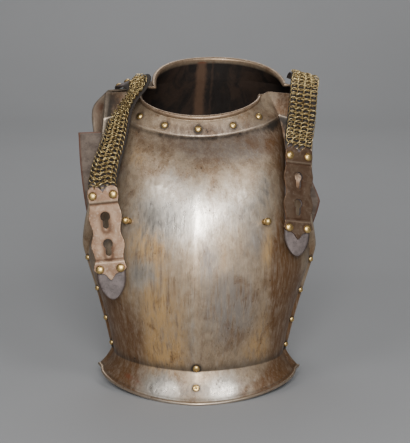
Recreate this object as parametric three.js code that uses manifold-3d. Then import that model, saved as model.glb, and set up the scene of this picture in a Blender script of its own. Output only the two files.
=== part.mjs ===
// A heavy cavalry cuirass in millimetres: +Z up, the front facing -Y, standing on its waist flanges.
// A steel breastplate and a steel backplate stand one behind the other, with brass rivets round their
// edges. Two leather shoulder straps, covered with brass chain, are riveted to the shoulders of the
// backplate and hang forward over the breastplate, each ending in a plate with two keyholes that fit
// the studs on the chest. Two waist belt halves are riveted to the sides of the backplate.
import * as THREE from "three";
import { mergeVertices } from "three/addons/utils/BufferGeometryUtils.js";
import Module from "manifold-3d";

const wasm = await Module();
wasm.setup();

// Driving dimensions
const GAP = 0.3; // air between pieces that touch
const NECK_ROLL_RADIUS = 3.6;
const WAIST_BEAD_RADIUS = 2.2;
const WAIST_BEAD_WORN = 0.9; // how much of the bead is worn flat where the plate stands on it
// How each plate stands: its yaw in degrees, and where the axis that it is turned about goes
const BREAST_PLACE = { yaw: -1.9, x: 1.4, y: 0 };
const BACK_PLACE = { yaw: 190, x: 32, y: 20 };
const RIVET = { side: 3.6, neck: 4.8, shoulder: 4.6, strap: 5.7, heightRatio: 0.68 }; // head radii
const STRAP = { width: 38, thickness: 2.4, tongue: 30, plateThickness: 1.6 }; // tongue: its length
const CHAIN = { width: 36, thickness: 3.2, from: 44 }; // from: where it starts along its strap
const KEYHOLE = { radius: 6.5, slotHalf: 3.9, slotLength: 16, cutDepth: 12 };
const BELT = { width: 42, thickness: 2.6 };
const STUD = { postRadius: 3, postLength: 6, ballRadius: 4.9 };

// Grid of a plate: columns from its middle to the crease at its edge, those of the flange beyond the
// crease, and rows between one section and the next
const CORE_COLUMNS = 11;
const NECK_COLUMNS = 9; // of the core's top row, the ones that run along the neck
const FLANGE_COLUMNS = 2;
const ROWS_PER_SECTION = 2;
const EDGE_STEPS = 6; // steps round a rolled edge
const STATIONS_PER_CONTROL = 2; // along a strap or a belt
const BASE_PROBES = 16; // points round the base of a rivet where its height over the plate is found
const BAND_RIVET_ROWS_DOWN = 1.2; // rivets of the neck band, in rows below the neck's edge
const MIDDLE = CORE_COLUMNS + FLANGE_COLUMNS;

const STEEL = new THREE.MeshStandardMaterial({ color: 0x9a9088, roughness: 0.38, metalness: 1 });
const BRASS = new THREE.MeshStandardMaterial({ color: 0xc8a04a, roughness: 0.32, metalness: 1 });
const COPPER = new THREE.MeshStandardMaterial({ color: 0xb58f7c, roughness: 0.45, metalness: 1 });
const LEATHER = new THREE.MeshStandardMaterial({ color: 0x6b5d56, roughness: 0.8, metalness: 0 });

// Sections of a plate that faces -Y, from the waist up to the neck.
//   z, y: where the section crosses the middle
//   edge: [x, y, z] of the crease at its side
//   rim:  [x, y, z] of the free edge of the flange beyond that crease
//   full: how far the section stays full before it turns to the side, from 0 to 1
//   keel: slope of the section at the middle, which makes the ridge
// The neck runs from its middle (y, z) to its end and on to the shoulder. Its drop says how far down
// its curve has come where it turns towards the end.
const BREAST = {
  thickness: 2.8,
  waist: { y: -174, edge: [133, -76, 17], rim: [139, -62, 20], full: 0.42, keel: 0.08, floor: 0.2 },
  sections: [
    { z: 39, y: -150, edge: [116, -66, 43], rim: [121, -60, 44], full: 0.52, keel: 0.16 },
    { z: 80, y: -158, edge: [124, -60, 84], rim: [131, -56, 84], full: 0.55, keel: 0.15 },
    { z: 125, y: -164, edge: [137, -54, 130], rim: [144, -50, 130], full: 0.58, keel: 0.14 },
    { z: 168, y: -165, edge: [150, -47, 170], rim: [157, -43, 171], full: 0.6, keel: 0.14 },
    { z: 186, y: -163, edge: [150, -47, 188], rim: [161, -42, 188], full: 0.6, keel: 0.13 },
    { z: 214, y: -158, edge: [138, -60, 216], rim: [158, -56, 214], full: 0.6, keel: 0.12 },
    { z: 248, y: -148, edge: [124, -64, 252], rim: [151, -64, 247], full: 0.6, keel: 0.1 },
    { z: 284, y: -131, edge: [117, -58, 292], rim: [142, -62, 284], full: 0.58, keel: 0.08 },
    { z: 316, y: -108, edge: [114, -44, 330], rim: [135, -50, 322], full: 0.55, keel: 0.05 },
    { z: 343, y: -80, edge: [107, -24, 364], rim: [132, -32, 358], full: 0.5, keel: 0.02 },
  ],
  neck: { y: -67, z: 366, end: [80, -14, 388], drop: 0.6, shoulder: [94, -5, 394], rim: [131, -8, 391] },
};

const BACK = {
  thickness: 2.4,
  waist: { y: -148, edge: [96, -42, 14], rim: [100, -32, 17], full: 0.5, keel: -0.04, floor: 0.2 },
  sections: [
    { z: 44, y: -120, edge: [88, -30, 48], rim: [93, -24, 49], full: 0.55, keel: -0.08 },
    { z: 85, y: -126, edge: [101, -22, 88], rim: [107, -17, 88], full: 0.58, keel: -0.1 },
    { z: 130, y: -134, edge: [114, -15, 134], rim: [121, -10, 134], full: 0.6, keel: -0.1 },
    { z: 176, y: -140, edge: [126, -8, 180], rim: [133, -3, 180], full: 0.62, keel: -0.1 },
    { z: 198, y: -142, edge: [127, -16, 202], rim: [138, -8, 200], full: 0.62, keel: -0.1 },
    { z: 234, y: -144, edge: [126, -42, 238], rim: [143, -34, 236], full: 0.62, keel: -0.1 },
    { z: 276, y: -142, edge: [126, -60, 282], rim: [146, -52, 280], full: 0.6, keel: -0.09 },
    { z: 318, y: -136, edge: [127, -62, 324], rim: [147, -54, 322], full: 0.58, keel: -0.08 },
    { z: 358, y: -125, edge: [126, -50, 364], rim: [145, -40, 362], full: 0.55, keel: -0.05 },
    { z: 398, y: -108, edge: [119, -30, 390], rim: [136, -20, 387], full: 0.5, keel: -0.02 },
  ],
  // rims of the last five sections on the wearer's right, where the flange is bent outwards
  bent: [[150, -36, 236], [165, -54, 282], [175, -60, 328], [176, -58, 366], [157, -44, 391]],
  neck: { y: -98, z: 427, end: [91, -14, 396], drop: 0.25, shoulder: [108, -5, 400], rim: [124, -3, 398] },
};

// Shoulder straps, from their riveted end on the backplate forward and down to the keyhole plate.
//   at: the middle of the leather; across: the direction of its width, towards the wearer's left
// From plateTop the strap is straight to its tip.
const STRAPS = {
  right: {
    controls: [
      { at: [-101, 42, 399.5], across: [0.92, 0.1, 0.38] },
      { at: [-99, 20, 405.5], across: [0.92, 0.06, 0.36] },
      { at: [-90, 4, 408.4], across: [0.86, -0.02, 0.33] },
      { at: [-82, -12, 406.6], across: [0.78, -0.3, 0.34] },
      { at: [-83.5, -27, 397], across: [0.68, -0.58, 0.36] },
      { at: [-92.5, -39, 384.5], across: [0.6, -0.7, 0.38] },
      { at: [-103, -50, 368], across: [0.72, -0.56, 0.38] },
      { at: [-109, -65, 350], across: [0.84, -0.42, 0.3] },
      { at: [-116, -85, 327], across: [0.93, -0.3, 0.18] },
      { at: [-123, -102, 305], across: [0.97, -0.18, 0.1] },
    ],
    plateTop: { at: [-127, -115, 283], across: [0.99, -0.1, 0.08] },
    tip: [-112, -146, 137],
  },
  left: {
    controls: [
      { at: [144, 76, 401], across: [0.93, 0.15, -0.3] },
      { at: [144, 54, 407], across: [0.93, 0.12, -0.32] },
      { at: [145, 30, 412], across: [0.94, 0.08, -0.3] },
      { at: [146, 8, 411], across: [0.97, 0.05, -0.22] },
      { at: [144, -10, 403], across: [0.98, 0.1, -0.12] },
      { at: [142, -26, 386], across: [0.97, 0.16, -0.06] },
      { at: [138, -43, 362], across: [0.95, 0.24, -0.03] },
      { at: [134, -60, 343], across: [0.92, 0.36, 0] },
    ],
    plateTop: { at: [132, -76, 328], across: [0.88, 0.46, 0] },
    tip: [129, -128, 191],
  },
};

// Keyhole plate, in distances down from its top: half its width at the lobes and waists of its sides,
// its keyholes, and its rivets. Its top has two lobes with a notch between them, its bottom a point.
const PLATE = {
  sides: [
    { down: 4, half: 19.5 },
    { down: 12, half: 20.5 },
    { down: 23, half: 19 },
    { down: 40, half: 22 },
    { down: 60, half: 18.2 },
    { down: 77, half: 22 },
    { down: 95, half: 18.8 },
    { down: 109, half: 21.8 },
  ],
  lobe: { across: 10, notchDown: 8 },
  point: { shoulderDown: 115, shoulderHalf: 8, down: 124 },
  keyholesDown: [40, 76],
  rivets: { across: 13.8, down: [12, 109] },
};

// Waist belt halves, from their riveted end on the side of the backplate forward and then up, and
// the length over which the free end is pointed
const BELTS = {
  right: {
    controls: [
      { at: [-70, 74, 66], across: [-0.25, 0.12, 0.96] },
      { at: [-73, 44, 70], across: [-0.25, 0.15, 0.96] },
      { at: [-80, 17, 80], across: [-0.25, 0.3, 0.92] },
      { at: [-98, -3, 112], across: [-0.6, 0.35, 0.7] },
      { at: [-122, -12, 165], across: [-0.93, 0.2, 0.3] },
      { at: [-136, -15, 228], across: [-1, 0.05, 0.1] },
      { at: [-143, -18, 290], across: [-1, 0, 0.02] },
      { at: [-145, -20, 341], across: [-1, 0, 0] },
    ],
    pointed: 0,
  },
  left: {
    controls: [
      { at: [115, 95, 66], across: [-0.21, -0.15, -0.96] },
      { at: [130, 69, 68], across: [-0.21, -0.2, -0.95] },
      { at: [141, 48, 76], across: [-0.15, -0.32, -0.92] },
      { at: [131, 24, 104], across: [-0.6, -0.3, -0.7] },
      { at: [130, 4, 172], across: [-0.95, -0.15, -0.25] },
      { at: [147, -14, 240], across: [-1, -0.05, 0.15] },
      { at: [152, -22, 284], across: [-1, 0, 0.12] },
    ],
    pointed: 38,
  },
};

// Rivets at the fixed end of a strap and of a belt, by their distance from the end and from the middle
const SHOULDER_RIVETS = [
  { along: 10, across: -12.5 },
  { along: 17, across: 0 },
  { along: 10, across: 12.5 },
];
const BELT_RIVETS = [
  { along: 11, across: -11 },
  { along: 11, across: 11 },
];

const vector = ([x, y, z]) => new THREE.Vector3(x, y, z);
const lerp = (a, b, t) => a.clone().lerp(b, t);
const smoothCurve = (points) => new THREE.CatmullRomCurve3(points, false, "centripetal");

// One half of a section, from the middle to the crease: a cubic with the ridge's slope at the middle,
// turning back towards the body at the side.
function halfSection({ y, z = 0, edge, full, keel }) {
  const [xe, ye, ze] = edge;
  const nearMiddle = new THREE.Vector3(xe * full, y + keel * xe * full, z);
  const nearEdge = new THREE.Vector3(xe, y + (ye - y) * (1 - full), z + (ze - z) * 0.75);
  const start = new THREE.Vector3(0, y, z);
  const curve = new THREE.CubicBezierCurve3(start, nearMiddle, nearEdge, vector(edge));
  return curve.getSpacedPoints(CORE_COLUMNS);
}

// The waist edge lies on the floor up to a part of its length, and rises to its side from there.
function waistHalf(waist) {
  const floorHeight = WAIST_BEAD_RADIUS - WAIST_BEAD_WORN;
  return halfSection(waist).map((p, i) => {
    const beyond = Math.max(0, i / CORE_COLUMNS - waist.floor) / (1 - waist.floor);
    return p.setZ(floorHeight + waist.edge[2] * beyond ** 1.6);
  });
}

// The top row runs along the neck first and then straight out along the shoulder.
function neckHalf({ y, z, end, shoulder, drop }) {
  const round = 0.56;
  const corner = vector(end);
  const start = new THREE.Vector3(0, y, z);
  const nearMiddle = new THREE.Vector3(end[0] * round, y, z);
  const nearCorner = new THREE.Vector3(end[0], y + (end[1] - y) * (1 - round), z + (end[2] - z) * drop);
  const neck = new THREE.CubicBezierCurve3(start, nearMiddle, nearCorner, corner);
  const row = neck.getSpacedPoints(NECK_COLUMNS);
  const shoulderColumns = CORE_COLUMNS - NECK_COLUMNS;
  for (let i = 1; i <= shoulderColumns; i++) row.push(lerp(corner, vector(shoulder), i / shoulderColumns));
  return row;
}

// A row right across the plate, with the flange on both sides: out to one rim at -X, the other at +X
function fullRow(half, rim, farRim = rim) {
  const crease = half[half.length - 1];
  const side = (end) => {
    const flange = [];
    for (let i = 1; i <= FLANGE_COLUMNS; i++) flange.push(lerp(crease, vector(end), i / FLANGE_COLUMNS));
    return [...half.slice(1), ...flange];
  };
  const left = side(rim).map((p) => new THREE.Vector3(-p.x, p.y, p.z));
  return [...left.reverse(), half[0].clone(), ...side(farRim).map((p) => p.clone())];
}

// Rows of a plate's middle surface: the waist flange, flared; the body, smooth from section to
// section; and the band round the neck.
function plateRows({ waist, sections, neck, bent = [] }) {
  const firstBent = sections.length - bent.length;
  const stations = sections.map((s, i) => fullRow(halfSection(s), s.rim, bent[i - firstBent]));
  const waistRow = fullRow(waistHalf(waist), waist.rim);
  const neckRow = fullRow(neckHalf(neck), neck.rim);
  const rows = [waistRow];
  const flare = [
    { part: 0.35, inward: 2.4 },
    { part: 0.7, inward: 2.4 },
  ];
  for (const { part, inward } of flare)
    rows.push(waistRow.map((p, j) => {
      const q = lerp(p, stations[0][j], part);
      return q.add(new THREE.Vector3(-q.x, -q.y, 0).setLength(inward));
    }));
  const columns = waistRow.map((_, j) => smoothCurve(stations.map((row) => row[j])));
  const steps = (sections.length - 1) * ROWS_PER_SECTION;
  for (let i = 0; i <= steps; i++) rows.push(columns.map((curve) => curve.getPoint(i / steps)));
  rows.push(neckRow.map((p, j) => lerp(stations[stations.length - 1][j], p, 0.5)));
  rows.push(neckRow);
  return rows;
}

// Unit normals of a grid of points, pointing out of the front
function gridNormals(rows) {
  const clampIndex = (i, length) => Math.min(Math.max(i, 0), length - 1);
  const at = (i, j) => rows[clampIndex(i, rows.length)][clampIndex(j, rows[0].length)];
  return rows.map((row, i) => row.map((_, j) => {
    const alongRow = at(i, j + 1).clone().sub(at(i, j - 1));
    const upColumn = at(i + 1, j).clone().sub(at(i - 1, j));
    return alongRow.cross(upColumn).normalize();
  }));
}

// Round edge of a plate, from its outer face over the edge to its inner face. A radius above half the
// thickness makes a roll that stands proud of the outer face.
function edgeArc(point, normal, towardsEdge, radius, thickness) {
  const up = towardsEdge.clone().addScaledVector(normal, -towardsEdge.dot(normal)).normalize();
  const centre = point.clone().addScaledVector(normal, radius - thickness / 2);
  const start = -Math.acos(THREE.MathUtils.clamp((thickness - radius) / radius, -1, 1));
  const arc = [];
  for (let k = 0; k <= EDGE_STEPS; k++) {
    const angle = THREE.MathUtils.lerp(start, Math.PI, k / EDGE_STEPS);
    arc.push(centre.clone()
      .addScaledVector(normal, radius * Math.cos(angle))
      .addScaledVector(up, radius * Math.sin(angle)));
  }
  return arc;
}

// Indexed geometry of points and triangles, turned the right way out
function geometryOf(points, triangles) {
  let volume = 0;
  for (const [a, b, c] of triangles) volume += points[a].dot(points[b].clone().cross(points[c]));
  const index = volume < 0 ? triangles.map(([a, b, c]) => [a, c, b]) : triangles;
  const geometry = new THREE.BufferGeometry().setFromPoints(points);
  geometry.setIndex(index.flat());
  return geometry;
}

// Solid skinned over loops of equally many points, with both ends closed. Each end is zipped from
// the middle of the loop's first arc, so a thin loop is closed straight across.
function skin(loops, zipStart) {
  const size = loops[0].length;
  const points = loops.flat();
  const triangles = [];
  const index = (loop, k) => loop * size + (((k % size) + size) % size);
  for (let j = 0; j + 1 < loops.length; j++)
    for (let k = 0; k < size; k++) {
      // Each quad is split along its shorter diagonal, so parallel faces are split alike.
      const [a, b, c, d] = [index(j, k), index(j + 1, k), index(j + 1, k + 1), index(j, k + 1)];
      const acShorter = points[a].distanceTo(points[c]) < points[b].distanceTo(points[d]);
      triangles.push(...(acShorter ? [[a, b, c], [a, c, d]] : [[a, b, d], [b, c, d]]));
    }
  for (const [loop, flip] of [[0, false], [loops.length - 1, true]]) {
    let low = zipStart;
    let high = zipStart + 1;
    for (let left = size - 2; left > 0; left--) {
      const forward = left % 2 === 0;
      const next = forward ? high + 1 : low - 1;
      const triangle = [index(loop, low), index(loop, high), index(loop, next)];
      triangles.push(flip ? triangle.reverse() : triangle);
      if (forward) high = next;
      else low = next;
    }
  }
  return geometryOf(points, triangles);
}

// A plate of sheet steel with its rolled neck, its flanges and its waist bead, and the places on it
function makePlate(spec) {
  const rows = plateRows(spec);
  const normals = gridNormals(rows);
  const last = rows.length - 1;
  const half = spec.thickness / 2;
  const face = (i, j, side) => rows[i][j].clone().addScaledVector(normals[i][j], side * half);
  const loops = rows[0].map((_, j) => {
    const neckRadius = Math.abs(j - MIDDLE) <= NECK_COLUMNS ? NECK_ROLL_RADIUS : half;
    const down = rows[0][j].clone().sub(rows[1][j]);
    const up = rows[last][j].clone().sub(rows[last - 1][j]);
    const loop = edgeArc(rows[0][j], normals[0][j], down, WAIST_BEAD_RADIUS, spec.thickness).reverse();
    for (let i = 1; i < last; i++) loop.push(face(i, j, 1));
    loop.push(...edgeArc(rows[last][j], normals[last][j], up, neckRadius, spec.thickness));
    for (let i = last - 1; i > 0; i--) loop.push(face(i, j, -1));
    return loop.map((p) => p.setZ(Math.max(p.z, 0)));
  });

  // Point of the outer face at fractions of a row and a column, with the normal there
  const blend = (grid, row, column) => {
    const i = THREE.MathUtils.clamp(Math.floor(row), 0, last - 1);
    const j = THREE.MathUtils.clamp(Math.floor(column), 0, rows[0].length - 2);
    const low = lerp(grid[i][j], grid[i][j + 1], column - j);
    return low.lerp(lerp(grid[i + 1][j], grid[i + 1][j + 1], column - j), row - i);
  };
  const outer = rows.map((row, i) => row.map((_, j) => face(i, j, 1)));
  const spot = (row, column) => {
    const reach = 0.05;
    const alongRow = blend(outer, row, column + reach).sub(blend(outer, row, column - reach));
    const upColumn = blend(outer, row + reach, column).sub(blend(outer, row - reach, column));
    return { at: blend(outer, row, column), normal: alongRow.cross(upColumn).normalize() };
  };
  const crossing = (value, count, target) => {
    for (let i = 0; i < count; i++) {
      const [a, b] = [value(i), value(i + 1)];
      if ((a - target) * (b - target) <= 0 && a !== b) return i + (target - a) / (b - a);
    }
    throw new Error(`nothing at ${target}`);
  };
  const columnAt = (row, x) => crossing((j) => blend(rows, row, j).x, rows[0].length - 1, x);
  const rowAt = (column, z) => crossing((i) => blend(rows, i, column).z, last, z);
  const spotAt = (x, z) => {
    let column = MIDDLE;
    for (let pass = 0; pass < 4; pass++) column = columnAt(rowAt(column, z), x);
    return spot(rowAt(column, z), column);
  };
  const geometry = skin(loops, EDGE_STEPS / 2);
  return { geometry, last, spot, columnAt, rowAt, spotAt, probe: new THREE.Mesh(geometry, STEEL) };
}

// A closed indexed solid from one of the library's geometries
function solidOf(geometry) {
  geometry.deleteAttribute("normal");
  geometry.deleteAttribute("uv");
  const merged = mergeVertices(geometry, 1e-4);
  const points = [];
  for (let i = 0; i < merged.attributes.position.count; i++)
    points.push(new THREE.Vector3().fromBufferAttribute(merged.attributes.position, i));
  const triangles = [];
  for (let i = 0; i < merged.index.count; i += 3) {
    const triangle = [0, 1, 2].map((k) => merged.index.getX(i + k));
    if (new Set(triangle).size === 3) triangles.push(triangle);
  }
  return geometryOf(points, triangles);
}

// A solid of revolution about +Z from a half outline that starts and ends on the axis
function turned(outline, sides) {
  const geometry = new THREE.LatheGeometry(outline.map(([r, z]) => new THREE.Vector2(r, z)), sides);
  return solidOf(geometry.rotateX(Math.PI / 2));
}

// Domed head of a rivet, standing on Z = 0
function rivetHead(radius) {
  const height = radius * RIVET.heightRatio;
  const dome = [[1, 0], [0.92, 0.45], [0.55, 0.88], [0, 1]];
  return turned([[0, 0], ...dome.map(([r, z]) => [r * radius, z * height])], 8);
}

// Stud of a strap: a post with a ball on it
function studGeometry() {
  const { postRadius, postLength, ballRadius } = STUD;
  const ballCentre = postLength + Math.sqrt(ballRadius ** 2 - postRadius ** 2);
  const outline = [[0, 0], [postRadius, 0], [postRadius, postLength]];
  const first = Math.asin(-(ballCentre - postLength) / ballRadius);
  const steps = 5;
  for (let k = 1; k < steps; k++) {
    const angle = THREE.MathUtils.lerp(first, Math.PI / 2, k / steps);
    outline.push([ballRadius * Math.cos(angle), ballCentre + ballRadius * Math.sin(angle)]);
  }
  outline.push([0, ballCentre + ballRadius]);
  return turned(outline, 10);
}

function named(name, geometry, material) {
  const mesh = new THREE.Mesh(geometry, material);
  mesh.name = name;
  return mesh;
}

// Sets a piece that points along +Z on a spot of a solid, just clear of the highest point under its
// base. The probe is a mesh of the solid in the piece's own frame.
function seat(mesh, probe, { at, normal }, baseRadius) {
  mesh.quaternion.setFromUnitVectors(new THREE.Vector3(0, 0, 1), normal);
  const reach = 10; // how far above the spot the search starts
  const down = normal.clone().negate();
  const raycaster = new THREE.Raycaster();
  let highest = 0;
  for (let k = 0; k < BASE_PROBES; k++) {
    const angle = (2 * Math.PI * k) / BASE_PROBES;
    const onBase = new THREE.Vector3(Math.cos(angle), Math.sin(angle), 0).multiplyScalar(baseRadius);
    const above = onBase.applyQuaternion(mesh.quaternion).add(at).addScaledVector(normal, reach);
    raycaster.set(above, down);
    const [hit] = raycaster.intersectObject(probe);
    if (hit) highest = Math.max(highest, reach - hit.distance);
  }
  mesh.position.copy(at).addScaledVector(normal, highest + GAP);
  return mesh;
}

const cuirass = new THREE.Group();

function standingGroup({ yaw, x, y }) {
  const group = new THREE.Group();
  group.rotation.z = THREE.MathUtils.degToRad(yaw);
  group.position.set(x, y, 0);
  cuirass.add(group);
  return group;
}

const breast = makePlate(BREAST);
const breastGroup = standingGroup(BREAST_PLACE);
breastGroup.add(named("breast_plate", breast.geometry, STEEL));

const back = makePlate(BACK);
const backGroup = standingGroup(BACK_PLACE);
backGroup.add(named("back_plate", back.geometry, STEEL));

// Rivets along the neck band, by their distance from the middle, and up the two side edges, by their
// height. Sides gives the wearer's side at the plate's own -X and +X.
function edgeRivets(group, plate, prefix, sides, neckSpread, sideHeights) {
  const bandRow = plate.last - BAND_RIVET_ROWS_DOWN;
  neckSpread.forEach((x, i) => {
    const spot = plate.spot(bandRow, plate.columnAt(bandRow, x));
    const rivet = named(`${prefix}_neck_rivet_${i + 1}`, rivetHead(RIVET.neck), BRASS);
    group.add(seat(rivet, plate.probe, spot, RIVET.neck));
  });
  sides.forEach((side, k) => sideHeights.forEach((z, i) => {
    const sign = k === 0 ? -1 : 1;
    const column = MIDDLE + sign * (CORE_COLUMNS + FLANGE_COLUMNS / 2);
    const spot = plate.spot(plate.rowAt(column, z), column);
    const rivet = named(`${prefix}_${side}_rivet_${i + 1}`, rivetHead(RIVET.side), BRASS);
    group.add(seat(rivet, plate.probe, spot, RIVET.side));
  }));
}
edgeRivets(breastGroup, breast, "breast", ["right", "left"], [-79, -45, 0, 46, 80], [51, 86, 127, 169]);
edgeRivets(backGroup, back, "back", ["left", "right"], [-74, -42, 0, 42, 74], [56, 96, 137, 178]);

for (const [side, x] of [["right", -88], ["left", 88]]) {
  const stud = named(`chest_stud_${side}`, studGeometry(), BRASS);
  breastGroup.add(seat(stud, breast.probe, breast.spotAt(x, 238), STUD.postRadius));
}

for (const [place, z] of [["upper", 44], ["lower", 19]]) {
  const rivet = named(`waist_rivet_${place}`, rivetHead(RIVET.neck), BRASS);
  breastGroup.add(seat(rivet, breast.probe, breast.spotAt(0, z), RIVET.neck));
}

// Stations of a band that is smooth through its controls: its middle, the direction of its width, its
// outward normal and its distance from the start. A straight end runs on from the last control to the
// tip, with a station at each of the given distances.
function bandStations(controls, tip, endDistances = []) {
  const last = controls[controls.length - 1];
  const ahead = tip ? [{ at: vector(last.at).lerp(vector(tip), 0.12).toArray(), across: last.across }] : [];
  const points = [...controls, ...ahead];
  const line = smoothCurve(points.map(({ at }) => vector(at)));
  const widths = smoothCurve(points.map(({ across }) => vector(across)));
  const stations = [];
  const add = (at, tangent, width) => {
    const across = width.addScaledVector(tangent, -width.dot(tangent)).normalize();
    const before = stations[stations.length - 1];
    const along = before ? before.along + before.at.distanceTo(at) : 0;
    stations.push({ at, tangent, across, normal: tangent.clone().cross(across), along });
  };
  const straight = tip && vector(tip).sub(vector(last.at)).normalize();
  const curved = (controls.length - 1) * STATIONS_PER_CONTROL;
  for (let i = 0; i <= curved; i++) {
    const t = i / STATIONS_PER_CONTROL / (points.length - 1);
    const tangent = straight && i === curved ? straight.clone() : line.getTangent(t);
    add(line.getPoint(t), tangent, widths.getPoint(t));
  }
  for (const distance of endDistances)
    add(vector(last.at).addScaledVector(straight, distance), straight.clone(), vector(last.across));
  return stations;
}

// Solid band over stations, with its inner face at a height above the middle of the leather
function band(stations, widthAt, thickness, inner = -thickness / 2) {
  const outer = inner + thickness;
  const loops = stations.map(({ at, across, normal, along }) => {
    const half = widthAt(along) / 2;
    const corner = (side, height) =>
      at.clone().addScaledVector(across, side * half).addScaledVector(normal, height);
    return [corner(-1, inner), corner(1, inner), corner(1, outer), corner(-1, outer)];
  });
  return skin(loops, 0);
}

// Place at a height above the middle of a band, at a distance along it and across it
function bandSpot(stations, height, along, across) {
  const index = Math.max(1, stations.findIndex((station) => station.along >= along));
  const [a, b] = [stations[index - 1], stations[index]];
  const t = (along - a.along) / (b.along - a.along);
  const normal = lerp(a.normal, b.normal, t).normalize();
  const at = lerp(a.at, b.at, t).addScaledVector(lerp(a.across, b.across, t), across);
  return { at: at.addScaledVector(normal, height), normal };
}

// Rivets on the outer face of a band, or of the piece on it that the probe stands for
function bandRivets(prefix, probe, stations, height, radius, places) {
  probe.updateMatrixWorld();
  places.forEach(({ along, across }, i) => {
    const rivet = named(`${prefix}_${i + 1}`, rivetHead(radius), BRASS);
    cuirass.add(seat(rivet, probe, bandSpot(stations, height, along, across), radius));
  });
}

// Flat outline of the keyhole plate: X across, Y up, its top at Y = 0
function plateShape() {
  const { sides, lobe, point } = PLATE;
  const side = new THREE.SplineCurve(sides.map(({ down, half }) => new THREE.Vector2(half, -down)));
  const right = side.getPoints(2 * (sides.length - 1));
  const shape = new THREE.Shape([new THREE.Vector2(0, -lobe.notchDown), new THREE.Vector2(lobe.across, 0)]);
  right.forEach(({ x, y }) => shape.lineTo(x, y));
  shape.lineTo(point.shoulderHalf, -point.shoulderDown);
  shape.lineTo(0, -point.down);
  shape.lineTo(-point.shoulderHalf, -point.shoulderDown);
  right.reverse().forEach(({ x, y }) => shape.lineTo(-x, y));
  shape.lineTo(-lobe.across, 0);
  shape.closePath();
  shape.holes.push(...PLATE.keyholesDown.map((down) => keyholeOutline(new THREE.Path(), down)));
  return shape;
}

// Outline of a keyhole: a round hole for the head of the stud with a slot below it for the post
function keyholeOutline(path, down) {
  const { radius, slotHalf, slotLength } = KEYHOLE;
  const mouth = Math.acos(slotHalf / radius);
  path.absarc(0, -down, radius, -mouth, Math.PI + mouth, false);
  path.absarc(0, -down - slotLength + slotHalf, slotHalf, Math.PI, 2 * Math.PI, false);
  path.closePath();
  return path;
}

const manifoldOf = (geometry) => new wasm.Manifold(new wasm.Mesh({
  numProp: 3,
  vertProperties: new Float32Array(geometry.attributes.position.array),
  triVerts: new Uint32Array(geometry.index.array),
}));

// A closed indexed solid with others cut out of it
function cut(geometry, tools) {
  const whole = tools.reduce((solid, tool) => solid.subtract(manifoldOf(tool)), manifoldOf(geometry));
  const { numProp, vertProperties, triVerts } = whole.getMesh();
  const result = new THREE.BufferGeometry();
  result.setAttribute("position", new THREE.BufferAttribute(vertProperties, numProp));
  return solidOf(result.setIndex(new THREE.BufferAttribute(triVerts, 1)));
}

const chainInnerFace = STRAP.thickness / 2 + 2 * GAP;
for (const [side, { controls, plateTop, tip }] of Object.entries(STRAPS)) {
  const straightLength = vector(plateTop.at).distanceTo(vector(tip));
  // Stations of the straight end, closer together towards its tip
  const ends = [1, 0.6, 0.33, 0.12, 0].map((part) => straightLength - part * STRAP.tongue);
  const stations = bandStations([...controls, plateTop], tip, ends);
  const total = stations[stations.length - 1].along;
  const plateStart = total - straightLength;
  const plateEdge = stations[stations.length - 1 - ends.length];
  const { at, across, tangent, normal } = plateEdge;
  const facing = new THREE.Matrix4().makeBasis(across, tangent.clone().negate(), normal);

  // The tongue narrows to its tip along two bowed edges.
  const leatherWidth = (along) => {
    const left = Math.min(1, (total - along) / STRAP.tongue);
    return STRAP.width * Math.max(0.06, Math.sin((left * Math.PI) / 2) ** 0.58);
  };
  const cutters = PLATE.keyholesDown.map((down) => {
    const shape = keyholeOutline(new THREE.Shape(), down);
    const cutter = new THREE.ExtrudeGeometry(shape, {
      depth: KEYHOLE.cutDepth, bevelEnabled: false, curveSegments: 5,
    });
    cutter.translate(0, 0, -KEYHOLE.cutDepth / 2);
    return solidOf(cutter.applyMatrix4(facing.clone().setPosition(at)));
  });
  const leather = cut(band(stations, leatherWidth, STRAP.thickness), cutters);
  const leatherMesh = named(`strap_leather_${side}`, leather, LEATHER);
  cuirass.add(leatherMesh);

  const covered = stations.filter(({ along }) => along >= CHAIN.from && along < plateStart - 1);
  const chainEnd = { ...plateEdge, at: at.clone().addScaledVector(tangent, -GAP) };
  const chain = band([...covered, chainEnd], () => CHAIN.width, CHAIN.thickness, chainInnerFace);
  cuirass.add(named(`strap_chain_${side}`, chain, BRASS));

  const sheet = new THREE.ExtrudeGeometry(plateShape(), {
    depth: STRAP.plateThickness, bevelEnabled: false, curveSegments: 7,
  });
  const plate = named(`keyhole_plate_${side}`, solidOf(sheet), COPPER);
  plate.quaternion.setFromRotationMatrix(facing);
  plate.position.copy(at).addScaledVector(normal, chainInnerFace);
  cuirass.add(plate);

  const plateRivets = PLATE.rivets.down.flatMap((down) => [
    { along: plateStart + down, across: -PLATE.rivets.across },
    { along: plateStart + down, across: PLATE.rivets.across },
  ]);
  const plateFace = chainInnerFace + STRAP.plateThickness;
  bandRivets(`plate_rivet_${side}`, plate, stations, plateFace, RIVET.strap, plateRivets);
  const leatherFace = STRAP.thickness / 2;
  bandRivets(`shoulder_rivet_${side}`, leatherMesh, stations, leatherFace, RIVET.shoulder, SHOULDER_RIVETS);
}

for (const [side, { controls, pointed }] of Object.entries(BELTS)) {
  const stations = bandStations(controls);
  const total = stations[stations.length - 1].along;
  const narrowing = (along) => (pointed ? Math.min(1, (total - along) / pointed) : 1);
  const belt = band(stations, (along) => BELT.width * Math.max(0.1, narrowing(along)), BELT.thickness);
  const beltMesh = named(`waist_belt_${side}`, belt, LEATHER);
  cuirass.add(beltMesh);
  bandRivets(`belt_rivet_${side}`, beltMesh, stations, BELT.thickness / 2, RIVET.neck, BELT_RIVETS);
}

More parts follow.
